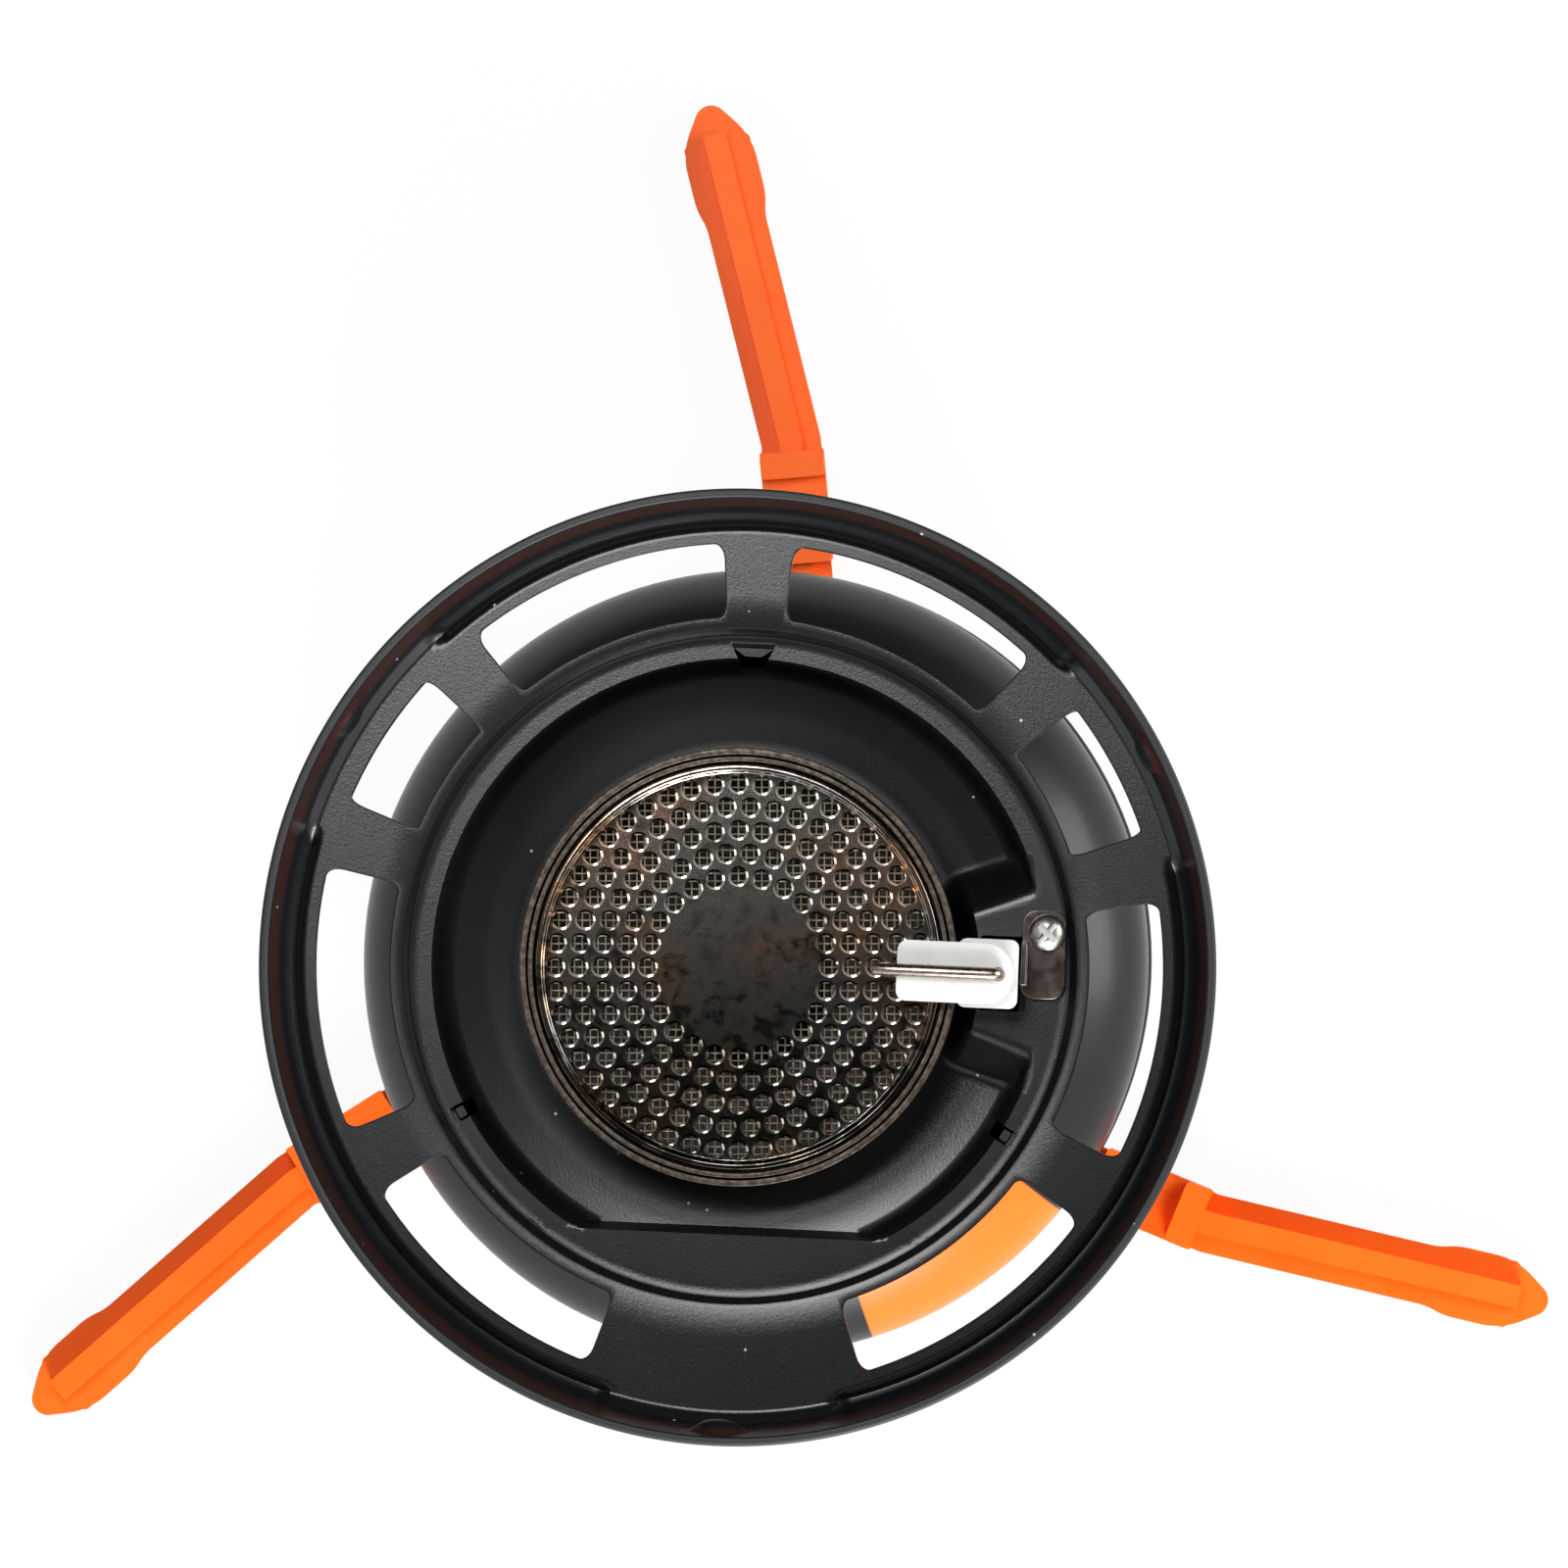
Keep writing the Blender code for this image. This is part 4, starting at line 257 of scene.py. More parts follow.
hub = disc(HUB_RADIUS, 0, HUB_THICKNESS, Vector(), 96)
rear = combine(leg_shape(15.0), leg_strip(15.3, 19.5, 6.4, 1.0, LEG_FLOOR + 1.1))
hub = combine(hub, bend_leg(rear))
swing(hub, TRIPOD_TURN)
for centre, _ in SIDE_LEGS.values():
    for radius, low, high in ((1.9, -2.0, 4.0), (3.3, -2.0, 1.0)):
        hub = combine(hub, disc(radius, low, high, centre), "DIFFERENCE")
keep_piece(
    "stabiliser_hub_moulding", hub, moulded_nylon, "stabiliser", "stabiliser_hub",
    slot="orange_plastic", soften=0.3,
)
for side, (centre, turn) in SIDE_LEGS.items():
    leg = bend_leg(leg_shape(LEG_PIVOT))
    pivot = Vector((LEG_PIVOT, LEG_LINE, 0))
    for radius, low, high, operation in (
        (5.6, LEG_FLOOR + 0.2, LEG_TOP - 0.2, "UNION"),
        (1.9, 0.0, LEG_TOP + 2, "DIFFERENCE"),
    ):
        leg = combine(leg, disc(radius, low, high, pivot), operation)
    shift(leg, -pivot)
    swing(leg, turn)
    shift(leg, centre)
    keep_piece(
        f"leg_{side}_moulding", leg, moulded_nylon, f"leg_{side}", f"leg_{side}",
        slot="orange_plastic", soften=0.3,
    )


# Rivets: two zinc-plated steel rivets, each headed over the root of a folding leg, on which
# the leg turns.
def turned(outline, sides=96, segments=4):
    """Turn an outline of (radius, height, corner rounding) about the upright axis."""
    bm = bmesh.new()
    points = [bm.verts.new((radius, 0, height)) for radius, height, _ in outline]
    for first, second in zip(points, points[1:]):
        bm.edges.new((first, second))
    if outline[0][0] > 0:
        bm.edges.new((points[-1], points[0]))
    for rounding in sorted({corner for _, _, corner in outline if corner}):
        chosen = [point for point, row in zip(points, outline) if row[2] == rounding]
        round_off(bm, chosen, rounding, segments, "VERTICES")
    bmesh.ops.spin(
        bm,
        geom=bm.verts[:] + bm.edges[:],
        cent=(0, 0, 0),
        axis=(0, 0, 1),
        angle=2 * math.pi,
        steps=sides,
        use_merge=True,
    )
    bmesh.ops.remove_doubles(bm, verts=bm.verts, dist=0.0005)
    bmesh.ops.recalc_face_normals(bm, faces=bm.faces)
    return bm


def clouded_finish(name, scale, detail, dark, light, gloss=None, relief=None, **plain):
    """A material whose colour, roughness and relief all follow one cloudy pattern."""
    material, tree, place = new_material(name, **plain)
    cloud = add_node(tree, "TexNoise", {"Vector": place, "Scale": scale, "Detail": detail})
    colours = {0: cloud, 6: linear(dark), 7: linear(light)}
    tint = add_node(tree, "Mix", colours, data_type="RGBA")
    dull = bump = None
    if gloss:
        dull = add_node(tree, "MapRange", {"Value": cloud, "To Min": gloss[0], "To Max": gloss[1]})
    if relief:
        size = {"Height": cloud, "Strength": relief[0], "Distance": relief[1]}
        bump = add_node(tree, "Bump", size)
    lay_finish(tree, tint, dull, bump)
    return material


# Zinc-plated steel: a bright grey plating, with faint clouds of about 0.8 mm that soften its
# reflections.
plated_steel = clouded_finish(
    "zinc_plated_steel", 1.2, 4.0, "A9A8A2", "D2D1CB", (0.22, 0.42), (0.2, 2e-5), Metallic=1.0
)

for side, (centre, _) in SIDE_LEGS.items():
    rivet = turned(
        [
            (0, 5.6, 0), (1.7, 5.6, 0.4), (3.0, 4.85, 0.2), (3.0, 4.8, 0), (1.6, 4.8, 0),
            (1.6, 0.7, 0), (3.0, 0.7, 0), (3.0, 0.3, 0.1), (0, 0.3, 0),
        ],
        sides=48,
    )
    shift(rivet, centre)
    keep_piece(
        f"rivet_{side}_headed", rivet, plated_steel, "stabiliser", f"rivet_{side}", slot="steel"
    )

# Canister: a deep-drawn steel shell with a domed shoulder and a rolled seam at its foot, which
# holds the pressed bottom. Lacquered black with one amber panel, the bottom bare tinplate.
SHOULDER, DOME_RISE, MOUTH, DRAWN_RADIUS, SHEET = 46.8, 15, 16.2, 44.6, 0.6
PANEL_START, PANEL_END, SOFT_END = -70.2, -36.5, 0.3
# Satin lacquer over steel: near black with a faint orange-peel of about 1.5 mm that breaks up
# its highlights. The amber panel is the same lacquer over 34 degrees of the shell's side, with
# ends softened over 0.2 mm.
lacquer, tree, place = new_material(
    "satin_black_lacquer", Roughness=0.36, Specular_IOR_Level=0.3, Coat_Weight=0.1,
    Coat_Roughness=0.15,
)
axes = add_node(tree, "SeparateXYZ", {"Vector": place})
radians = add_node(tree, "Math", {0: axes.outputs["Y"], 1: axes.outputs["X"]}, operation="ARCTAN2")
bearing = add_node(tree, "Math", {0: radians}, operation="DEGREES")
after = add_node(
    tree, "MapRange",
    {"Value": bearing, "From Min": PANEL_START, "From Max": PANEL_START + SOFT_END},
)
before = add_node(
    tree, "MapRange", {"Value": bearing, "From Min": PANEL_END, "From Max": PANEL_END - SOFT_END}
)
panel = add_node(tree, "Math", {0: after, 1: before}, operation="MULTIPLY")
cloud = add_node(tree, "TexNoise", {"Vector": place, "Scale": 0.08, "Detail": 3.0})
black = add_node(
    tree, "Mix", {0: cloud, 6: linear("0B0C0C"), 7: linear("131415")}, data_type="RGBA"
)
paint = add_node(tree, "Mix", {0: panel, 6: black, 7: linear("F66400")}, data_type="RGBA")
peel = add_node(tree, "TexNoise", {"Vector": place, "Scale": 0.7, "Detail": 2.0})
bump = add_node(tree, "Bump", {"Height": peel, "Strength": 0.12, "Distance": 5e-5})
lay_finish(tree, paint, relief=bump)

# Tinplate: bare tin-coated steel sheet, bright but softly mottled over about 4 mm from rolling
# and handling.
tinplate = clouded_finish(
    "tinplate", 0.25, 6.0, "9B9A95", "D5D3CC", (0.18, 0.45), (0.15, 5e-5), Metallic=1.0
)

dome = [
    (MOUTH + (DRAWN_RADIUS - MOUTH) * math.cos(angle), SHOULDER + DOME_RISE * math.sin(angle), 0)
    for angle in (math.radians(degrees) for degrees in range(90, -1, -5))
]
under_dome = [(max(radius - SHEET, MOUTH), height - SHEET, 0) for radius, height, _ in dome]
shell = turned(
    dome
    + [
        (DRAWN_RADIUS, 9.9, 0.2), (45.0, 9.5, 0.3), (45.0, 6.3, 0.5), (43.2, 6.3, 0.5),
        (43.2, 9.1, 0.1), (44.0, 9.9, 0.1),
    ]
    + under_dome[::-1],
    sides=144,
)
keep_piece(
    "canister_drawn_shell", shell, lacquer, "canister", "canister_shell", slot="canister_paint"
)

bottom = turned(
    [
        (0, 12.9, 0), (14, 12.6, 3), (30, 10.9, 4), (41.1, 9.1, 0.3), (42.9, 9.1, 0.2),
        (42.9, 7.3, 0.4), (30, 10.3, 4), (14, 12.0, 3), (0, 12.3, 0),
    ],
    sides=144,
)
keep_piece(
    "canister_pressed_bottom", bottom, tinplate, "canister", "canister_bottom", slot="tinplate"
)


# Valve cup: a tinplate cup crimped over the shell's mouth on a rubber gasket. It carries the
# turned aluminium valve housing, whose neck takes the stove. Its thread is drawn as nine rings.
cup = turned(
    [
        (17.2, 65.3, 0.9), (17.2, 62.9, 0.2), (14.8, 62.9, 0.2), (14.45, 59.7, 0.6),
        (5.8, 59.7, 0.1), (5.8, 60.4, 0.1), (13.75, 60.4, 0.6), (14.1, 65.3, 0.9),
    ],
    sides=96,
)
keep_piece("valve_cup_crimped", cup, tinplate, "canister", "valve_cup", slot="tinplate")

# Machined aluminium: light grey with fine concentric tool marks about 0.15 mm apart.
machined, tree, place = new_material("machined_aluminium", Metallic=1.0)
marks = add_node(
    tree, "TexWave",
    {"Vector": place, "Scale": 2.2, "Distortion": 0.4, "Detail": 1.0},
    bands_direction="Z",
)
stain = add_node(tree, "TexNoise", {"Vector": place, "Scale": 0.4, "Detail": 4.0})
tint = add_node(tree, "Mix", {0: stain, 6: linear("B4B5B6"), 7: linear("DADBDC")}, data_type="RGBA")
dull = add_node(tree, "MapRange", {"Value": marks.outputs["Fac"], "To Min": 0.26, "To Max": 0.38})
bump = add_node(tree, "Bump", {"Height": marks.outputs["Fac"], "Strength": 0.3, "Distance": 1e-5})
lay_finish(tree, tint, dull, bump)

THREAD_FOOT, THREAD_STEP, THREAD_RINGS = 61.2, 1.05, 9
crests = []
for ring in range(THREAD_RINGS):
    foot = THREAD_FOOT + ring * THREAD_STEP
    crests += [(5.5, foot, 0), (4.95, foot + 0.5, 0)]
neck = turned(
    [
        (4.9, 70.9, 0.3), (2.2, 70.9, 0.3), (2.2, 60.4, 0), (3.2, 60.4, 0), (3.2, 50.1, 0),
        (1.2, 50.1, 0), (1.2, 48.9, 0.1), (4.8, 48.9, 0.5), (4.8, 58.0, 0.2), (8.0, 58.0, 0.2),
        (8.0, 59.4, 0.2), (5.5, 59.4, 0),
    ]
    + crests,
    sides=72,
)
keep_piece("valve_housing_neck", neck, machined, "canister", "valve_housing", slot="aluminium")

# Gaskets, seals, the lead's boot and the springs keep the CAD's mesh. The black nitrile rubber
# is matt and nearly black, with a dusty bloom about 0.5 mm across.
rubber = clouded_finish(
    "nitrile_rubber", 2.0, 5.0, "121212", "242424", relief=(0.3, 3e-5), Roughness=0.7
)


def dress(material, *nodes):
    """Give CAD nodes that keep their own mesh a material."""
    for node in nodes:
        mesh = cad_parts[node].data
        mesh.materials.clear()
        mesh.materials.append(material)


dress(rubber, "cup_gasket", "stem_gasket", "adapter_o_ring", "spindle_o_ring", "lead_boot")
dress(plated_steel, "stem_spring", "piezo_spring")


# Valve body: one piece of turned brass with a plain skirt over the canister's neck, a side
# boss for the spindle and a stub for the jet. Gland nut, jet and pins are brass too.
SPINDLE_LEVEL = 76.9
# Free-cutting brass: warm yellow with turning rings about 0.2 mm apart, browned a little in
# patches by handling.
brass, tree, place = new_material("turned_brass", Metallic=1.0)
marks = add_node(
    tree, "TexWave",
    {"Vector": place, "Scale": 1.6, "Distortion": 0.3, "Detail": 1.0},
    bands_direction="Z",
)
tarnish = add_node(tree, "TexNoise", {"Vector": place, "Scale": 0.35, "Detail": 5.0})
tint = add_node(
    tree, "Mix", {0: tarnish, 6: linear("B98F45"), 7: linear("E6C884")}, data_type="RGBA"
)
dull = add_node(tree, "MapRange", {"Value": tarnish, "To Min": 0.4, "To Max": 0.2})
bump = add_node(tree, "Bump", {"Height": marks.outputs["Fac"], "Strength": 0.25, "Distance": 1e-5})
lay_finish(tree, tint, dull, bump)


def lay_along_y(bm, height):
    """Lay a shape turned about the upright axis down, so that its height runs out along -Y."""
    swing(bm, 90, "X")
    shift(bm, (0, 0, height))
    return bm


def bar(radius, low, high, sides=32):
    """A round bar, or the cutter of a bore, turned about the upright axis."""
    return turned([(0, low, 0), (radius, low, 0), (radius, high, 0), (0, high, 0)], sides)


body = turned(
    [
        (4.5, 86.1, 0.3), (4.5, 83.9, 0.2), (9.0, 83.9, 0.6), (9.0, 72.9, 0.3), (10.0, 72.9, 0.4),
        (10.0, 62.8, 0.6), (5.8, 62.8, 0.3), (5.8, 72.2, 0), (1.4, 72.2, 0), (1.4, 81.9, 0),
        (2.7, 81.9, 0), (2.7, 86.1, 0.2),
    ],
)
boss = turned([(0, 6.5, 0), (5.5, 6.5, 0), (5.5, 15.0, 0.5), (0, 15.0, 0)])
body = combine(body, lay_along_y(boss, SPINDLE_LEVEL))
body = combine(body, lay_along_y(bar(2.6, 2.2, 17.0), SPINDLE_LEVEL), "DIFFERENCE")
keep_piece("valve_body_turned", body, brass, "stove", "valve_body", slot="brass")


def hex_nut(radius, low, high, bore, chamfer):
    """A hexagon nut about the upright axis, with its corners turned off at both ends."""
    nut = bmesh.new()
    bmesh.ops.create_cone(
        nut, cap_ends=True, segments=6, radius1=radius, radius2=radius, depth=high - low
    )
    shift(nut, (0, 0, (low + high) / 2))
    flat = radius * math.cos(math.radians(30))
    trim = turned(
        [
            (0, low, 0), (flat, low, 0), (radius + 0.1, low + chamfer, 0),
            (radius + 0.1, high - chamfer, 0), (flat, high, 0), (0, high, 0),
        ],
        sides=48,
    )
    nut = combine(nut, trim, "INTERSECT")
    return combine(nut, bar(bore, low - 1, high + 1, 48), "DIFFERENCE")


gland = lay_along_y(hex_nut(5.2, 15.3, 19.5, 2.0, 0.45), SPINDLE_LEVEL)
keep_piece("gland_nut_hex", gland, brass, "stove", "gland_nut", slot="brass")
jet = combine(
    hex_nut(3.0, 86.4, 88.2, 0.4, 0.3),
    turned([(0.4, 82.2, 0), (2.4, 82.2, 0.2), (2.4, 86.6, 0), (0.4, 86.6, 0)], sides=32),
)
keep_piece("jet_turned", jet, brass, "stove", "jet", slot="brass")
dress(brass, "depressor_pin", "valve_stem")

# Spindle and handle: a ground, zinc-plated steel spindle with a needle end, a small machined
# aluminium block fixed on it, and a loop of bent stainless wire that folds about the block.
HANDLE_PIVOT = -37.2
spindle = turned(
    [(0, 35.8, 0), (1.7, 35.8, 0.3), (1.7, 7.5, 0.2), (0.4, 2.5, 0), (0, 2.5, 0)], sides=32
)
keep_piece(
    "valve_spindle_ground", lay_along_y(spindle, SPINDLE_LEVEL), plated_steel, "valve_knob",
    "valve_spindle", slot="steel",
)
block = prism(oblong(-3.5, 3.5, -40.7, -33.7), 73.9, 79.9, 0.5)
block = combine(block, lay_along_y(bar(2.0, 32.0, 36.1), SPINDLE_LEVEL), "DIFFERENCE")
cross = bar(1.2, -6, 6)
swing(cross, 90, "Y")
shift(cross, (0, HANDLE_PIVOT, SPINDLE_LEVEL))
block = combine(block, cross, "DIFFERENCE")
keep_piece(
    "handle_block_machined", block, machined, "valve_knob", "handle_block", slot="aluminium",
    soften=0.3,
)

# Drawn stainless wire: bright and smooth, a little duller in patches of about 1 mm.
bright_wire = clouded_finish(
    "drawn_stainless_wire", 0.9, 5.0, "B7B6B2", "DFDEDA", (0.12, 0.3), Metallic=1.0
)


def wire_end(bm, radius, centre, facing, sides=16):
    """The round end face of a wire, from which the wire is drawn out."""
    turn = Vector(facing).to_track_quat("Z", "Y").to_matrix().to_4x4()
    bmesh.ops.create_circle(
        bm, cap_ends=True, segments=sides, radius=radius, matrix=Matrix.Translation(centre) @ turn
    )
    return bm.verts[:] + bm.edges[:] + bm.faces[:]


def draw_straight(bm, end, step):
    """Carry the wire on by one straight step."""
    return bmesh.ops.spin(bm, geom=end, dvec=step, angle=0, steps=1)["geom_last"]


def draw_bend(bm, end, centre, axis, degrees, steps=8):
    """Carry the wire on round a bend."""
    turn = math.radians(degrees)
    bent = bmesh.ops.spin(bm, geom=end, cent=centre, axis=axis, angle=turn, steps=steps)
    return bent["geom_last"]


handle = bmesh.new()
level = SPINDLE_LEVEL
end = wire_end(handle, 0.9, (1.3, HANDLE_PIVOT, level), (1, 0, 0))
end = draw_straight(handle, end, (6.5, 0, 0))
end = draw_bend(handle, end, (7.8, -39.0, level), (0, 0, 1), -90)
end = draw_straight(handle, end, (0, -4.5, 0))
end = draw_bend(handle, end, (4.6, -43.5, level), (0, 0, 1), -90, steps=12)
end = draw_straight(handle, end, (-9.2, 0, 0))
end = draw_bend(handle, end, (-4.6, -43.5, level), (0, 0, 1), -90, steps=12)
end = draw_straight(handle, end, (0, 4.5, 0))
end = draw_bend(handle, end, (-7.8, -39.0, level), (0, 0, 1), -90)
draw_straight(handle, end, (6.5, 0, 0))
bmesh.ops.recalc_face_normals(handle, faces=handle.faces)
keep_piece("wire_handle_bent", handle, bright_wire, "handle", "wire_handle", slot="stainless")

# Lower housing: a black nylon cup under the pan, with air vents round its side and three snap
# tabs, the rear one wedge-shaped, that come up through the pan. It holds the igniter and has
# the boss for the bracket's screw.
PIEZO_LEVEL = 97.1
TABS = ((90, 0.9, 2.2), (210, 0.6, 0.6), (330, 0.6, 0.6))
SCREW_SPOT = (33.4, 5.2, 0)
VENT_BEARINGS = range(-6, 210, 24)
# Black nylon: charcoal, with the satin skin of a mould and a grain of about 0.3 mm.
black_nylon, tree, place = new_material("moulded_black_nylon")
grain = add_node(tree, "TexNoise", {"Vector": place, "Scale": 3.0, "Detail": 3.0})
cloud = add_node(tree, "TexNoise", {"Vector": place, "Scale": 0.15, "Detail": 2.0})
tint = add_node(tree, "Mix", {0: cloud, 6: linear("131313"), 7: linear("202020")}, data_type="RGBA")
dull = add_node(tree, "MapRange", {"Value": grain, "To Min": 0.42, "To Max": 0.6})
bump = add_node(tree, "Bump", {"Height": grain, "Strength": 0.35, "Distance": 5e-5})
lay_finish(tree, tint, dull, bump)

housing = turned(
    [
        (36.2, 108.6, 0.3), (36.2, 102.9, 1.5), (34.8, 97.4, 3.0), (31.4, 91.3, 0),
        (30.0, 89.9, 1.2), (6.5, 89.9, 0.4), (6.5, 91.3, 0.4), (29.3, 91.3, 1.0),
        (33.4, 98.1, 2.0), (34.8, 102.9, 1.0), (34.8, 108.6, 0.3),
    ],
    sides=144,
)
housing = combine(housing, lay_along_y(bar(4.8, 28, 39, 48), PIEZO_LEVEL), "DIFFERENCE")
for bearing in VENT_BEARINGS:
    vent = prism(oblong(30, 38.2, -2.5, 2.5), 93.5, 95.7)
    lengthwise = [edge for edge in vent.edges if abs(edge.verts[0].co.x - edge.verts[1].co.x) > 5]
    round_off(vent, lengthwise, 0.8, 4)
    swing(vent, bearing)
    housing = combine(housing, vent, "DIFFERENCE")


def tab_outline(turn, near, far, inner, outer):
    """Plan outline of a snap tab or of its hole, at its turn about the axis."""
    about_axis = Matrix.Rotation(math.radians(turn), 3, "Z")
    corners = [(inner, -near), (outer, -far), (outer, far), (inner, near)]
    return [(about_axis @ Vector((x, y, 0)))[:2] for x, y in corners]


for turn, near, far in TABS:
    tab = prism(tab_outline(turn, near, far, 33.9, 34.8), 104.4, 108.9, 0.2)
    housing = combine(housing, tab)
    housing = combine(housing, prism(tab_outline(turn, near, far, 34.1, 35.4), 104.4, 108.3))
boss = turned([(1.4, 101.9, 0), (2.2, 101.9, 0.3), (2.2, 108.4, 0.2), (1.4, 108.4, 0)], sides=32)
shift(boss, SCREW_SPOT)
housing = combine(housing, boss)
keep_piece(
    "lower_housing_moulding", housing, black_nylon, "stove", "lower_housing",
    slot="black_plastic",
)

# Igniter: a piezo unit in a nylon tube through the housing's front, held by a grooved collar
# nut, with a push button on a spring. An insulated lead runs from it to the electrode.
tube = turned(
    [
        (0, 26.0, 0), (3.6, 26.0, 0), (3.6, 41.5, 0.2), (4.5, 41.5, 0.3), (4.5, 17.0, 0.5),
        (0, 17.0, 0),
    ],
    sides=64,
)
keep_piece(
    "piezo_tube_moulded", lay_along_y(tube, PIEZO_LEVEL), black_nylon, "stove", "piezo_body",
    slot="black_plastic",
)
GRIP_RADIUS, GROOVE_RADIUS, NUT_DEPTH = 6.2, 5.75, 3.4
nut = bmesh.new()
bmesh.ops.create_circle(nut, cap_ends=True, segments=96, radius=GRIP_RADIUS)
for index, vert in enumerate(sorted(nut.verts, key=lambda v: math.atan2(v.co.y, v.co.x))):
    if index % 4 == 0:
        vert.co.xy *= GROOVE_RADIUS / GRIP_RADIUS
thicken(nut, NUT_DEPTH)
trim = turned(
    [
        (0, 0, 0), (5.6, 0, 0), (6.3, 0.6, 0), (6.3, NUT_DEPTH - 0.6, 0), (5.6, NUT_DEPTH, 0),
        (0, NUT_DEPTH, 0),
    ],
    sides=96,
)
nut = combine(nut, trim, "INTERSECT")
nut = combine(nut, bar(4.8, -1, 5, 48), "DIFFERENCE")
shift(nut, (0, 0, 36.5))
keep_piece(
    "piezo_collar_grooved", lay_along_y(nut, PIEZO_LEVEL), black_nylon, "stove", "piezo_collar",
    slot="black_plastic",
)
button = turned(
    [
        (0, 50.8, 0), (2.4, 50.75, 2.0), (4.2, 50.1, 0.7), (4.2, 45.9, 0.4), (3.2, 45.9, 0.2),
        (3.2, 37.0, 0), (2.98, 37.0, 0), (2.98, 41.5, 0), (0, 41.5, 0),
    ],
    sides=64,
)
keep_piece(
    "igniter_button_moulded", lay_along_y(button, PIEZO_LEVEL), black_nylon, "igniter_button",
    "piezo_button", slot="black_plastic",
)

# Silicone-covered lead: soft dark grey with a faint wrinkle every 1 mm or so.
silicone = clouded_finish(
    "silicone_lead_cover", 1.0, 3.0, "1B1B1C", "2B2B2D", relief=(0.2, 5e-5), Roughness=0.45
)
dress(silicone, "ignition_lead")


# Burner pan: one disc of aluminium sheet, pressed into a stepped bowl with an upright rim,
# pierced with eight windows, three tab holes and the electrode's slot, then blasted and
# anodised black. A bead in three stretches and three dimples stiffen the rim.
BEADS = ((89.9, 91.0), (210.0, 91.0), (330.4, 91.0))
WINDOWS = (
    (30.4, 19.3), (67.0, 36.0), (112.8, 36.5), (149.6, 19.7),
    (187.0, 36.5), (233.0, 37.0), (307.5, 36.5), (353.3, 36.0),
)
WINDOW_INNER, WINDOW_OUTER, WINDOW_CORNER = 38.05, 46.35, 1.9
LEDGE, DECK, DECK_EDGE = 109.9, 111.9, 36.85
FRONT_EDGE, FRONT_RUN = 29.3, 0.75
PAD_BEARING, PAD_HALF_ANGLE = 1.2, 19.15
BEAD_RADIUS, BEAD_HALF_WIDTH, BEAD_DEPTH = 49.0, 1.3, 1.15
DIMPLE_BEARINGS, DIMPLE_LEVEL, DIMPLE_DEPTH = (30, 150, 270), 116.2, 1.3


def smooth_step(low, high, value):
    """Nothing below low, one above high, and a smooth rise between them."""
    share = min(max((value - low) / (high - low), 0), 1)
    return share * share * (3 - 2 * share)


def turn_from(bearing, centre):
    """The signed angle in degrees from a centre to a bearing."""
    return (bearing - centre + 180) % 360 - 180


def press(vert):
    """Press one point of the turned bowl: pad, straight step, beads and dimples."""
    x, y, height = vert.co
    radius, bearing = math.hypot(x, y), math.degrees(math.atan2(y, x))
    if radius < 35:
        aside = abs(turn_from(bearing, PAD_BEARING)) * math.radians(1) * radius
        half = math.radians(PAD_HALF_ANGLE) * radius
        pad = smooth_step(23.7, 26.3, radius) * (1 - smooth_step(half - 2.6, half + 2.6, aside))
        front = min(max((-y - FRONT_EDGE + FRONT_RUN) / FRONT_RUN, 0), 1)
        height = max(height, height + (LEDGE - height) * max(pad, front))
    for centre, width in BEADS:
        aside = max(abs(turn_from(bearing, centre)) - (width / 2 - 1.5), 0)
        off = math.hypot(math.radians(aside) * BEAD_RADIUS, radius - BEAD_RADIUS)
        if radius > 46 and height < DECK + 3:
            height -= BEAD_DEPTH * max(1 - (off / BEAD_HALF_WIDTH) ** 2, 0)
    for centre in DIMPLE_BEARINGS:
        aside = math.radians(turn_from(bearing, centre)) * radius
        inside = 1 - (aside / 2.7) ** 2 - ((height - DIMPLE_LEVEL) / 2.1) ** 2
        if inside > 0 and radius > 50:
            depth = DIMPLE_DEPTH * math.sqrt(inside)
            x, y = x * (1 - depth / radius), y * (1 - depth / radius)
    vert.co = (x, y, height)


bowl = [
    (51.05, 119.9, 10), (50.2, 114.1, 4), (49.75, 112.75, 5), (48.6, 111.9, 5),
    (47.2, 111.9, 3), (37.3, 111.9, 1), (36.85, 111.75, 2), (36.1, 110.05, 1),
    (35.7, 109.9, 3), (33.7, 109.9, 1), (33.4, 109.6, 8), (32.75, 105.3, 1),
    (31.8, 104.5, 8), (28.0, 103.6, 8), (24.5, 102.95, 4), (22.5, 102.9, 4), (7.2, 102.9, 0),
]
pan = bmesh.new()
last = pan.verts.new((bowl[0][0], 0, bowl[0][1]))
for (radius, height, parts), (next_radius, next_height, _) in zip(bowl, bowl[1:]):
    for part in range(1, parts + 1):
        share = part / parts
        out = radius + (next_radius - radius) * share
        up = height + (next_height - height) * share
        point = pan.verts.new((out, 0, up))
        pan.edges.new((last, point))
        last = point
bmesh.ops.spin(
    pan, geom=pan.verts[:] + pan.edges[:], cent=(0, 0, 0), axis=(0, 0, 1), angle=2 * math.pi,
    steps=400, use_merge=True,
)
bmesh.ops.remove_doubles(pan, verts=pan.verts, dist=0.001)
for line in (FRONT_EDGE - FRONT_RUN, FRONT_EDGE):
    centres = [(face, face.calc_center_median()) for face in pan.faces]
    front = [face for face, spot in centres if spot.y < -20 and spot.xy.length < DECK_EDGE]
    bmesh.ops.bisect_plane(
        pan,
        geom=list({part for face in front for part in (*face.verts, *face.edges, face)}),
        dist=0.001,
        plane_co=(0, -line, 0),
        plane_no=(0, 1, 0),
    )
for vert in pan.verts:
    press(vert)
bmesh.ops.recalc_face_normals(pan, faces=pan.faces)
pan.normal_update()
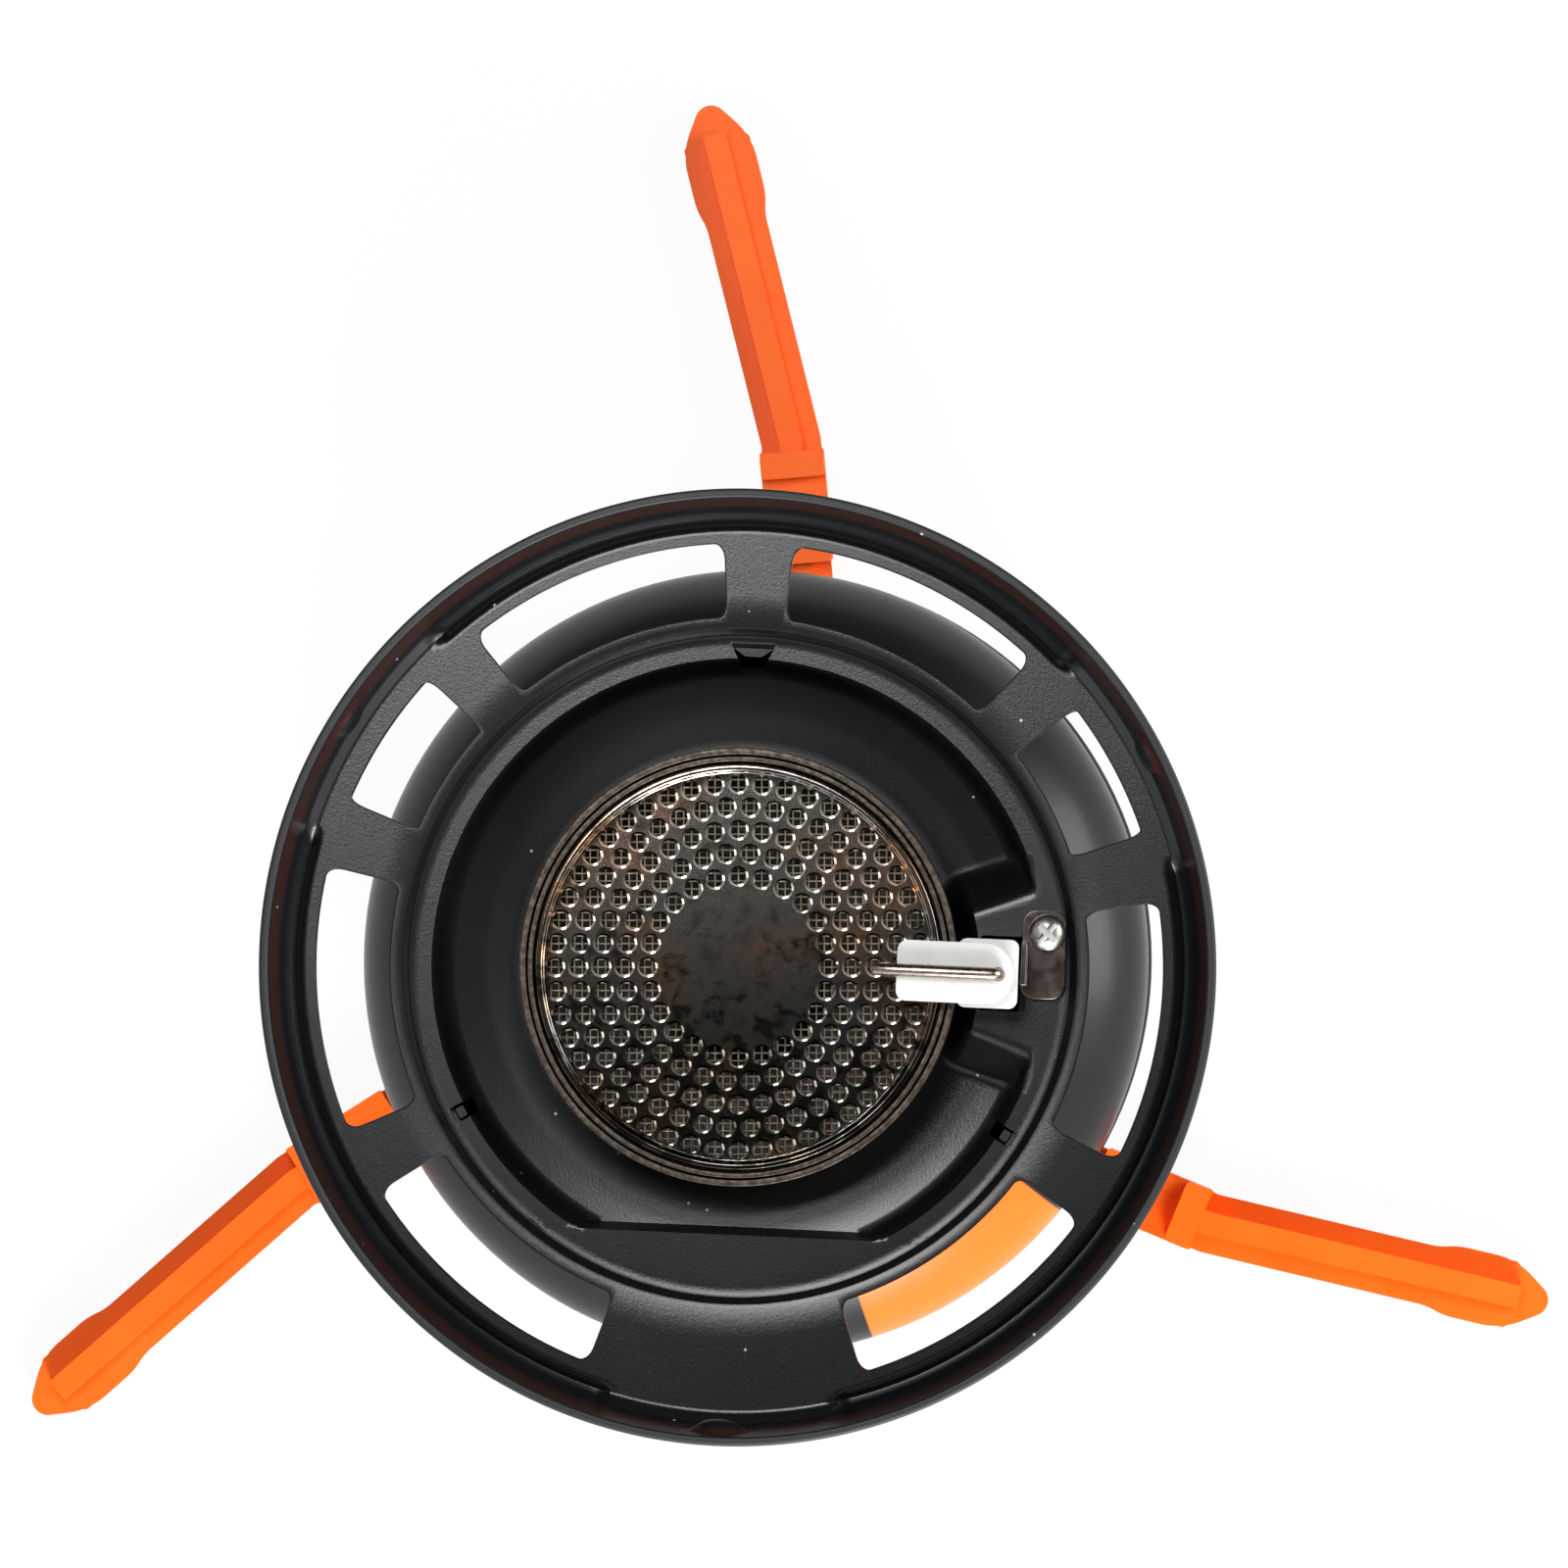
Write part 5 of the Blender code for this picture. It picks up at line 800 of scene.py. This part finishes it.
if sum(face.normal.z for face in pan.faces) < 0:
    bmesh.ops.reverse_faces(pan, faces=pan.faces)
bmesh.ops.solidify(pan, geom=pan.faces[:], thickness=1.0)
rim = [e for e in pan.edges if min(v.co.z for v in e.verts) > 119.5 and e.calc_face_angle(0) > 1]
round_off(pan, rim, 0.3, 3)


def sharpness(vert):
    """How far an outline turns at a vertex, in radians."""
    first, second = (edge.other_vert(vert).co - vert.co for edge in vert.link_edges)
    return math.pi - first.angle(second)


def add_in(bm, part):
    """Put a loose part in with the others of a mesh."""
    mesh = bpy.data.meshes.new("work")
    part.to_mesh(mesh)
    part.free()
    bm.from_mesh(mesh)


def sink(bm, face, depth):
    """Carry a cutter's end face down, and return the new end."""
    raised = bmesh.ops.extrude_face_region(bm, geom=[face])["geom"]
    end = [part for part in raised if isinstance(part, bmesh.types.BMFace)][0]
    bmesh.ops.translate(bm, vec=(0, 0, -depth), verts=end.verts)
    return end


cutters = bmesh.new()
for centre, width in WINDOWS:
    window = bmesh.new()
    half = math.radians(width + 0.4) / 2
    start = Matrix.Rotation(math.radians(centre) - half, 3, "Z")
    radii = (WINDOW_INNER, WINDOW_OUTER)
    ends = [window.verts.new(start @ Vector((radius, 0, DECK + 1))) for radius in radii]
    bmesh.ops.spin(
        window,
        geom=[*ends, window.edges.new(ends)],
        cent=(0, 0, 0),
        axis=(0, 0, 1),
        angle=2 * half,
        steps=24,
    )
    bmesh.ops.dissolve_faces(window, faces=window.faces[:])
    round_off(window, sorted(window.verts, key=sharpness)[-4:], WINDOW_CORNER, 6, "VERTICES")
    mouth = sink(window, window.faces[:][0], 1.0)
    bmesh.ops.inset_region(window, faces=[mouth], thickness=0.15, use_even_offset=True)
    bmesh.ops.translate(window, vec=(0, 0, -0.15), verts=mouth.verts)
    sink(window, mouth, 3.0)
    bmesh.ops.delete(window, geom=[mouth], context="FACES_ONLY")
    bmesh.ops.recalc_face_normals(window, faces=window.faces)
    add_in(cutters, window)
for turn, near, far in TABS:
    hole = tab_outline(turn, near + 0.3, far + 0.3, 32.7, 35.3)
    add_in(cutters, prism(hole, 101.5, 113.0, 0.25))
add_in(cutters, prism(oblong(26.1, 31.4, -3.6, 4.6), 101.5, 113.0, 0.4))
pan = combine(pan, cutters, "DIFFERENCE")

# Black anodised aluminium: a blasted, dyed oxide skin that looks slate grey where it catches
# the light, with a sparkle grain of about 0.15 mm (drawn at 0.25 mm, to show in the render), a
# brown painted reflection on the lower rim wall, a duller lip and a few specks of pale dust.
anodised, tree, place = new_material("black_anodised_aluminium", IOR=1.5)
axes = add_node(tree, "SeparateXYZ", {"Vector": place})
flat_place = add_node(tree, "CombineXYZ", {"X": axes.outputs["X"], "Y": axes.outputs["Y"]})
radius = add_node(tree, "VectorMath", {0: flat_place}, operation="LENGTH")
blast = add_node(tree, "TexNoise", {"Vector": place, "Scale": 4.0, "Detail": 3.0})
cloud = add_node(tree, "TexNoise", {"Vector": place, "Scale": 0.07, "Detail": 4.0})
skin = add_node(tree, "Mix", {0: blast, 6: linear("060708"), 7: linear("131517")}, data_type="RGBA")
# Painted reflection: the rim's inner wall below its lip is tinted brown, in place of brown
# surroundings that it reflects.
wall_mask = add_node(tree, "MapRange", {"Value": radius, "From Min": 50.0, "From Max": 50.3})
low_mask = add_node(
    tree, "MapRange", {"Value": axes.outputs["Z"], "From Min": 119.6, "From Max": 118.6}
)
painted_reflection_mask = add_node(tree, "Math", {0: wall_mask, 1: low_mask}, operation="MULTIPLY")
skin_with_painted_reflection = add_node(tree, "Mix", {0: painted_reflection_mask, 6: skin, 7: linear("2A1713")}, data_type="RGBA")
cells = add_node(tree, "TexVoronoi", {"Vector": place, "Scale": 0.22})
speck = add_node(tree, "MapRange", {"Value": cells, "From Min": 0.045, "From Max": 0.02})
dusty = add_node(tree, "Mix", {0: speck, 6: skin_with_painted_reflection, 7: linear("B9BDC0")}, data_type="RGBA")
satin = add_node(tree, "MapRange", {"Value": cloud, "To Min": 0.25, "To Max": 0.33})
worn = add_node(
    tree, "MapRange",
    {"Value": axes.outputs["Z"], "From Min": 119.3, "From Max": 119.6, "To Max": 0.25},
)
dull = add_node(tree, "Math", {0: satin, 1: worn})
bump = add_node(tree, "Bump", {"Height": blast, "Strength": 0.5, "Distance": 3e-5})
lay_finish(tree, dusty, dull, bump)
keep_piece(
    "burner_pan_pressed", pan, anodised, "stove", "burner_pan", slot="black_metal", sharp=42
)

# Burner head: a brass mixing tube with four air holes, clamped with the spun steel burner cup
# and its sleeve through the pan by a hexagon nut. The sleeve's lip is crimped and sooted.
tube = turned(
    [
        (9.0, 105.5, 0.2), (9.0, 104.5, 0.2), (6.0, 104.5, 0.3), (6.0, 84.2, 0.3),
        (4.8, 84.2, 0.3), (4.8, 105.5, 0.3),
    ],
)
for axis in "YX":
    air = bar(1.3, -9, 9)
    swing(air, 90, axis)
    shift(air, (0, 0, 88.0))
    tube = combine(tube, air, "DIFFERENCE")
keep_piece("mixing_tube_turned", tube, brass, "stove", "mixing_tube", slot="brass")
keep_piece(
    "burner_nut_hex", hex_nut(11.0, 98.8, 101.6, 6.3, 0.8), plated_steel, "stove", "burner_nut",
    slot="steel",
)

# Stainless sheet that the flame has browned and sooted: dark brown-grey in blotches of about
# 0.6 mm, rubbed shinier in specks of 0.2 mm.
sooted, tree, place = new_material("sooted_stainless_sheet", Metallic=1.0)
blotch = add_node(
    tree, "TexNoise", {"Vector": place, "Scale": 1.6, "Detail": 4.0, "Roughness": 0.6}
)
fine = add_node(tree, "TexNoise", {"Vector": place, "Scale": 5.0, "Detail": 2.0})
share = add_node(tree, "MapRange", {"Value": blotch, "From Min": 0.42, "From Max": 0.62})
tint = add_node(tree, "Mix", {0: share, 6: linear("3A332D"), 7: linear("5A524B")}, data_type="RGBA")
dull = add_node(tree, "MapRange", {"Value": fine, "To Min": 0.32, "To Max": 0.6})
bump = add_node(tree, "Bump", {"Height": fine, "Strength": 0.15, "Distance": 2e-5})
lay_finish(tree, tint, dull, bump)

sleeve = turned(
    [(23.85, 116.4, 0.13), (23.85, 103.5, 0.2), (23.15, 103.5, 0.1), (23.15, 116.4, 0.13)],
    sides=192,
)
keep_piece("burner_collar_crimped", sleeve, sooted, "stove", "burner_collar", slot="stainless")
cup = turned(
    [
        (22.95, 116.3, 0.12), (22.95, 115.6, 0.1), (22.85, 115.5, 0), (22.85, 103.2, 0.8),
        (6.3, 103.2, 0.1), (6.3, 104.2, 0.2), (22.4, 104.2, 0.5), (22.4, 116.3, 0.12),
    ],
    sides=192,
)
keep_piece("burner_cup_spun", cup, sooted, "stove", "burner_cup", slot="stainless")

# Burner cap: a disc of polished stainless steel with a rolled edge and 180 holes in five
# rings, each punched from below so that it has a small raised lip.
CAP_TURN, HOLE_COUNTS, HOLE_RADIUS = 92.5, (24, 30, 36, 42, 48), 0.9
FIRST_RING, RING_STEP = 9.87, 2.52
cap = turned(
    [
        (0, 115.7, 0), (21.2, 115.7, 0.2), (21.4, 116.15, 0.2), (22.15, 116.15, 0.34),
        (22.15, 112.9, 0.1), (21.5, 112.9, 0.1), (21.5, 115.1, 0.2), (0, 115.1, 0),
    ],
    sides=192,
)
punch = bar(HOLE_RADIUS, 116.3, 114.6, 18)
lip = turned(
    [
        (0, 115.85, 0), (HOLE_RADIUS + 0.01, 115.85, 0), (1.2, 115.65, 0), (1.2, 115.5, 0),
        (0, 115.5, 0),
    ],
    sides=18,
)
for tool, operation in ((lip, "UNION"), (punch, "DIFFERENCE")):
    tools = bmesh.new()
    for ring, count in enumerate(HOLE_COUNTS):
        for index in range(count):
            turn = math.radians(CAP_TURN + 360 * (index + (ring % 2) / 2) / count)
            radius = FIRST_RING + RING_STEP * ring
            one = tool.copy()
            shift(one, (radius * math.cos(turn), radius * math.sin(turn), 0))
            add_in(tools, one)
    cap = combine(cap, tools, operation)

# Heat-tinted stainless: a polished grey that has gone straw to brown in clouds of about 11 mm,
# with soot in patches of 3 mm. The front half is darkened more than the rear by painted shade.
tinted, tree, place = new_material("heat_tinted_stainless", Metallic=1.0)
axes = add_node(tree, "SeparateXYZ", {"Vector": place})
heat = add_node(tree, "TexNoise", {"Vector": place, "Scale": 0.09, "Detail": 3.0})
soot = add_node(
    tree, "TexNoise", {"Vector": place, "Scale": 0.35, "Detail": 7.0, "Roughness": 0.65}
)
hot = add_node(tree, "MapRange", {"Value": heat, "From Min": 0.46, "From Max": 0.66})
straw = add_node(tree, "Mix", {0: hot, 6: linear("8C8781"), 7: linear("B08A6C")}, data_type="RGBA")
patches = add_node(tree, "MapRange", {"Value": soot, "From Min": 0.48, "From Max": 0.68})
# Painted shade: this mask darkens the cap from its rear towards its front, and is added to the soot
# patches.
front = add_node(
    tree, "MapRange",
    {"Value": axes.outputs["Y"], "From Min": -14, "From Max": 9, "To Min": 0.75, "To Max": 0.0},
)
soot_and_painted_shade = add_node(tree, "Math", {0: patches, 1: front}, operation="ADD", use_clamp=True)
tint = add_node(tree, "Mix", {0: soot_and_painted_shade, 6: straw, 7: linear("2C2B27")}, data_type="RGBA")
dull = add_node(tree, "MapRange", {"Value": soot, "To Min": 0.07, "To Max": 0.24})
bump = add_node(tree, "Bump", {"Height": soot, "Strength": 0.15, "Distance": 1e-4})
lay_finish(tree, tint, dull, bump)
keep_piece("burner_cap_punched", cap, tinted, "stove", "burner_cap", slot="stainless", sharp=30)

# Screen: a disc of plain-woven heat-resistant wire, 0.16 mm thick at 0.85 mm pitch, that lies
# under the cap and keeps the flame from striking back.
PITCH, WIRE_RADIUS, WAVE, SCREEN_RADIUS = 0.85, 0.08, 0.09, 21.2
SCREEN_LEVEL, SCREEN_TURN = 114.8, 2.5
warp = bmesh.new()
for line in range(-24, 25):
    across = line * PITCH
    count = int(math.sqrt(SCREEN_RADIUS**2 - across**2) / (PITCH / 2))
    wire = bmesh.new()
    end = wire_end(wire, WIRE_RADIUS, (-count * PITCH / 2, across, 0), (-1, 0, 0), sides=4)
    bmesh.ops.spin(wire, geom=end, dvec=(PITCH / 2, 0, 0), angle=0, steps=2 * count)
    for vert in wire.verts:
        vert.co.z += WAVE * math.cos(math.pi * (vert.co.x / PITCH + line))
    add_in(warp, wire)
weft = warp.copy()
swing(weft, 90)
bmesh.ops.scale(weft, vec=(1, 1, -1), verts=weft.verts)
bmesh.ops.reverse_faces(weft, faces=weft.faces)
add_in(warp, weft)
bmesh.ops.recalc_face_normals(warp, faces=warp.faces)
swing(warp, SCREEN_TURN)
shift(warp, (0, 0, SCREEN_LEVEL))

# Nickel-chrome wire that the flame has burnt clean: pale and faintly straw, in patches of
# 5 mm, and bright enough for its weave to show in the cap's holes.
heated_wire = clouded_finish(
    "heated_nickel_chrome_wire", 0.2, 4.0, "F2E6D0", "FFFAF2", (0.48, 0.34), Metallic=1.0
)
keep_piece("burner_screen_woven", warp, heated_wire, "stove", "burner_screen", slot="stainless")

# Electrode: a fired ceramic insulator that stands in the pan's slot, with a flat slab reaching
# over the burner. A bent heat-resistant wire lies on it and drops through its bore.
ROD_Y = 0.5
outline = [(17.3, ROD_Y - 3.3, 1.1), (30.0, ROD_Y - 3.3, 3.2), (30.0, ROD_Y + 3.3, 3.2)]
outline.append((17.3, ROD_Y + 3.3, 1.1))
slab = prism(outline, 116.9, 119.5, segments=8)
base = prism(oblong(23.9, 30.45, ROD_Y - 3.75, ROD_Y + 3.75), 110.2, 117.4, 0.9, segments=5)
foot = prism(oblong(26.6, 30.05, ROD_Y - 3.6, ROD_Y + 3.6), 103.9, 117.0, 0.4)
insulator = combine(combine(slab, base), foot)
bore = bar(0.74, 101, 121)
shift(bore, (28.3, ROD_Y, 0))
insulator = combine(insulator, bore, "DIFFERENCE")

# Alumina ceramic: white, fired without glaze, with a smooth chalky skin and very faint stains
# of 2 to 3 mm.
ceramic, tree, place = new_material("fired_alumina", Roughness=0.38)
stain = add_node(tree, "TexNoise", {"Vector": place, "Scale": 0.35, "Detail": 5.0})
share = add_node(tree, "MapRange", {"Value": stain, "From Min": 0.5, "From Max": 0.8})
tint = add_node(tree, "Mix", {0: share, 6: linear("C3C3C1"), 7: linear("BABAB7")}, data_type="RGBA")
bump = add_node(tree, "Bump", {"Height": stain, "Strength": 0.1, "Distance": 1e-4})
lay_finish(tree, tint, relief=bump)
keep_piece(
    "electrode_insulator_fired", insulator, ceramic, "stove", "electrode_insulator",
    slot="ceramic", soften=0.3,
)
electrode = bmesh.new()
level = 120.4
end = wire_end(electrode, 0.7, (14.75, ROD_Y, level - 0.75), (-1, 0, 0))
end = draw_straight(electrode, end, (2.25, 0, 0.75))
end = draw_straight(electrode, end, (10.5, 0, 0))
end = draw_bend(electrode, end, (27.5, ROD_Y, level - 0.8), (0, 1, 0), 90)
draw_straight(electrode, end, (0, 0, 100.4 - level + 0.8))
bmesh.ops.recalc_face_normals(electrode, faces=electrode.faces)

# Resistance wire: a grey-tan oxide on a drawn surface, mottled over about 0.6 mm.
ignition_wire = clouded_finish(
    "oxidised_resistance_wire", 1.6, 4.0, "75665A", "BDB0A3", (0.2, 0.36), Metallic=1.0
)
keep_piece(
    "electrode_wire_bent", electrode, ignition_wire, "stove", "electrode_wire", slot="stainless"
)

# Bracket: a bent strip of nickel-plated steel that holds the insulator by an upright flange. A
# zinc-plated pan-head screw with a cross recess fixes it to the pan and the housing.
plate = prism(oblong(30.7, 35.5, -2.1, 7.6), 110.2, 110.8, 1.5, segments=6)
flange = prism(oblong(30.7, 31.3, -0.6, 4.0), 110.3, 115.2)
bracket = combine(plate, flange)
hole = bar(1.4, 109, 112)
shift(hole, SCREW_SPOT)
bracket = combine(bracket, hole, "DIFFERENCE")

# Nickel plate over pressed steel: a mirror painted dark brown, a painted reflection of dark
# surroundings, with faint stains of about 1 mm.
# Painted reflection: both colours are dark brown in place of the plating's own bright grey.
nickel = clouded_finish(
    "nickel_plated_steel", 0.8, 4.0, "5A4E49", "857B76", (0.12, 0.3), Metallic=1.0
)
keep_piece(
    "electrode_bracket_bent", bracket, nickel, "stove", "electrode_bracket", slot="steel",
    soften=0.12,
)
screw = turned(
    [
        (0, 112.3, 0), (1.0, 112.25, 0.6), (1.95, 111.6, 0.4), (2.0, 111.1, 0), (1.1, 111.1, 0),
        (1.1, 105.6, 0.2), (0, 105.6, 0),
    ],
    sides=48,
)
recess = prism(oblong(-0.36, 0.36, -1.4, 1.4), 111.2, 113.5)
recess = combine(recess, prism(oblong(-1.4, 1.4, -0.36, 0.36), 111.2, 113.5))
swing(recess, 50)
screw = combine(screw, recess, "DIFFERENCE")
shift(screw, SCREW_SPOT)
keep_piece(
    "bracket_screw_cross", screw, plated_steel, "stove", "bracket_screw", slot="steel", soften=0.07
)

# Studio: white paper under a pale sky that is bright low down and towards the picture's foot,
# with a small softbox at its top left, a strong low one at its foot and one at its right.
PICTURE_TURN = math.radians(2.5)
ACROSS = Vector((math.cos(PICTURE_TURN), math.sin(PICTURE_TURN), 0))
UP_PICTURE = Vector((-math.sin(PICTURE_TURN), math.cos(PICTURE_TURN), 0))
floor_mesh = bmesh.new()
bmesh.ops.create_grid(floor_mesh, x_segments=1, y_segments=1, size=4.0)
mesh = bpy.data.meshes.new("studio_floor")
floor_mesh.to_mesh(mesh)
floor = bpy.data.objects.new("studio_floor", mesh)
bpy.context.scene.collection.objects.link(floor)
paper = bpy.data.materials.new("white_studio_paper")
paper.use_nodes = True
tree = paper.node_tree
tree.nodes.clear()
sheet = add_node(tree, "BsdfDiffuse", {"Color": (0.9, 0.9, 0.9, 1)})
glow = add_node(tree, "Emission", {"Color": (1, 1, 1, 1), "Strength": 1.0})
ray = add_node(tree, "LightPath")
seen = add_node(
    tree, "Math", {0: ray.outputs["Is Camera Ray"], 1: ray.outputs["Is Glossy Ray"]},
    operation="MAXIMUM",
)
share = add_node(tree, "Math", {0: seen, 1: 0.92}, operation="MULTIPLY")
both = add_node(tree, "MixShader", {0: share, 1: sheet, 2: glow})
add_node(tree, "OutputMaterial", {"Surface": both})
mesh.materials.append(paper)

world = bpy.data.worlds.new("studio")
bpy.context.scene.world = world
world.use_nodes = True
tree = world.node_tree
tree.nodes.clear()
upward = add_node(tree, "SeparateXYZ", {"Vector": add_node(tree, "TexCoord").outputs["Generated"]})
low_band = add_node(
    tree, "MapRange",
    {"Value": upward.outputs["Z"], "From Min": 0.4, "From Max": 0.93, "To Min": 1.0,
     "To Max": 0.05},
    interpolation_type="SMOOTHSTEP",
)
slant = add_node(
    tree, "MapRange",
    {"Value": upward.outputs["Y"], "From Min": -0.7, "From Max": 0.7, "To Min": 1.4, "To Max": 0.0},
)
soft = add_node(tree, "Math", {0: low_band, 1: slant}, operation="MULTIPLY")
ray = add_node(tree, "LightPath")
level = add_node(tree, "Math", {0: ray.outputs["Is Camera Ray"], 1: soft}, operation="MAXIMUM")
sky = add_node(tree, "Background", {"Color": (1, 1, 1, 1), "Strength": level})
add_node(tree, "OutputWorld", {"Surface": sky})


def softbox(name, right, up, height, size, watts, aim=(0, 0, 0.1)):
    """A square area lamp placed in picture directions, in metres, and aimed at the stove."""
    lamp = bpy.data.lights.new(name, "AREA")
    lamp.shape, lamp.size, lamp.energy = "SQUARE", size, watts
    obj = bpy.data.objects.new(name, lamp)
    bpy.context.scene.collection.objects.link(obj)
    spot = ACROSS * right + UP_PICTURE * up + Vector((0, 0, height))
    turn = (spot - Vector(aim)).to_track_quat("Z", "Y")
    obj.matrix_world = Matrix.Translation(spot) @ turn.to_matrix().to_4x4()


softbox("key_softbox", -0.055, 0.155, 0.55, 0.18, 1.5)
softbox("low_softbox", 0.20, -0.80, 0.50, 0.40, 13.0)
softbox("side_softbox", 0.75, 0.15, 0.40, 0.50, 6.0)

# Camera: a long lens far above the stove, a little to the right of its axis.
camera = bpy.data.cameras.new("camera")
camera.lens, camera.sensor_width = 326.0, 36.0
camera.clip_end = 20.0
eye = bpy.data.objects.new("camera", camera)
bpy.context.scene.collection.objects.link(eye)
target = ACROSS * 0.0051 + UP_PICTURE * 0.0199 + Vector((0, 0, 0.1199))
spot = ACROSS * 0.045 + UP_PICTURE * 0.012 + Vector((0, 0, 1.66))
back = (spot - target).normalized()
side = UP_PICTURE.cross(back).normalized()
turn = Matrix((side, back.cross(side), back)).transposed()
eye.matrix_world = Matrix.Translation(spot) @ turn.to_4x4()
bpy.context.scene.camera = eye
bpy.context.scene.view_settings.view_transform = "Standard"
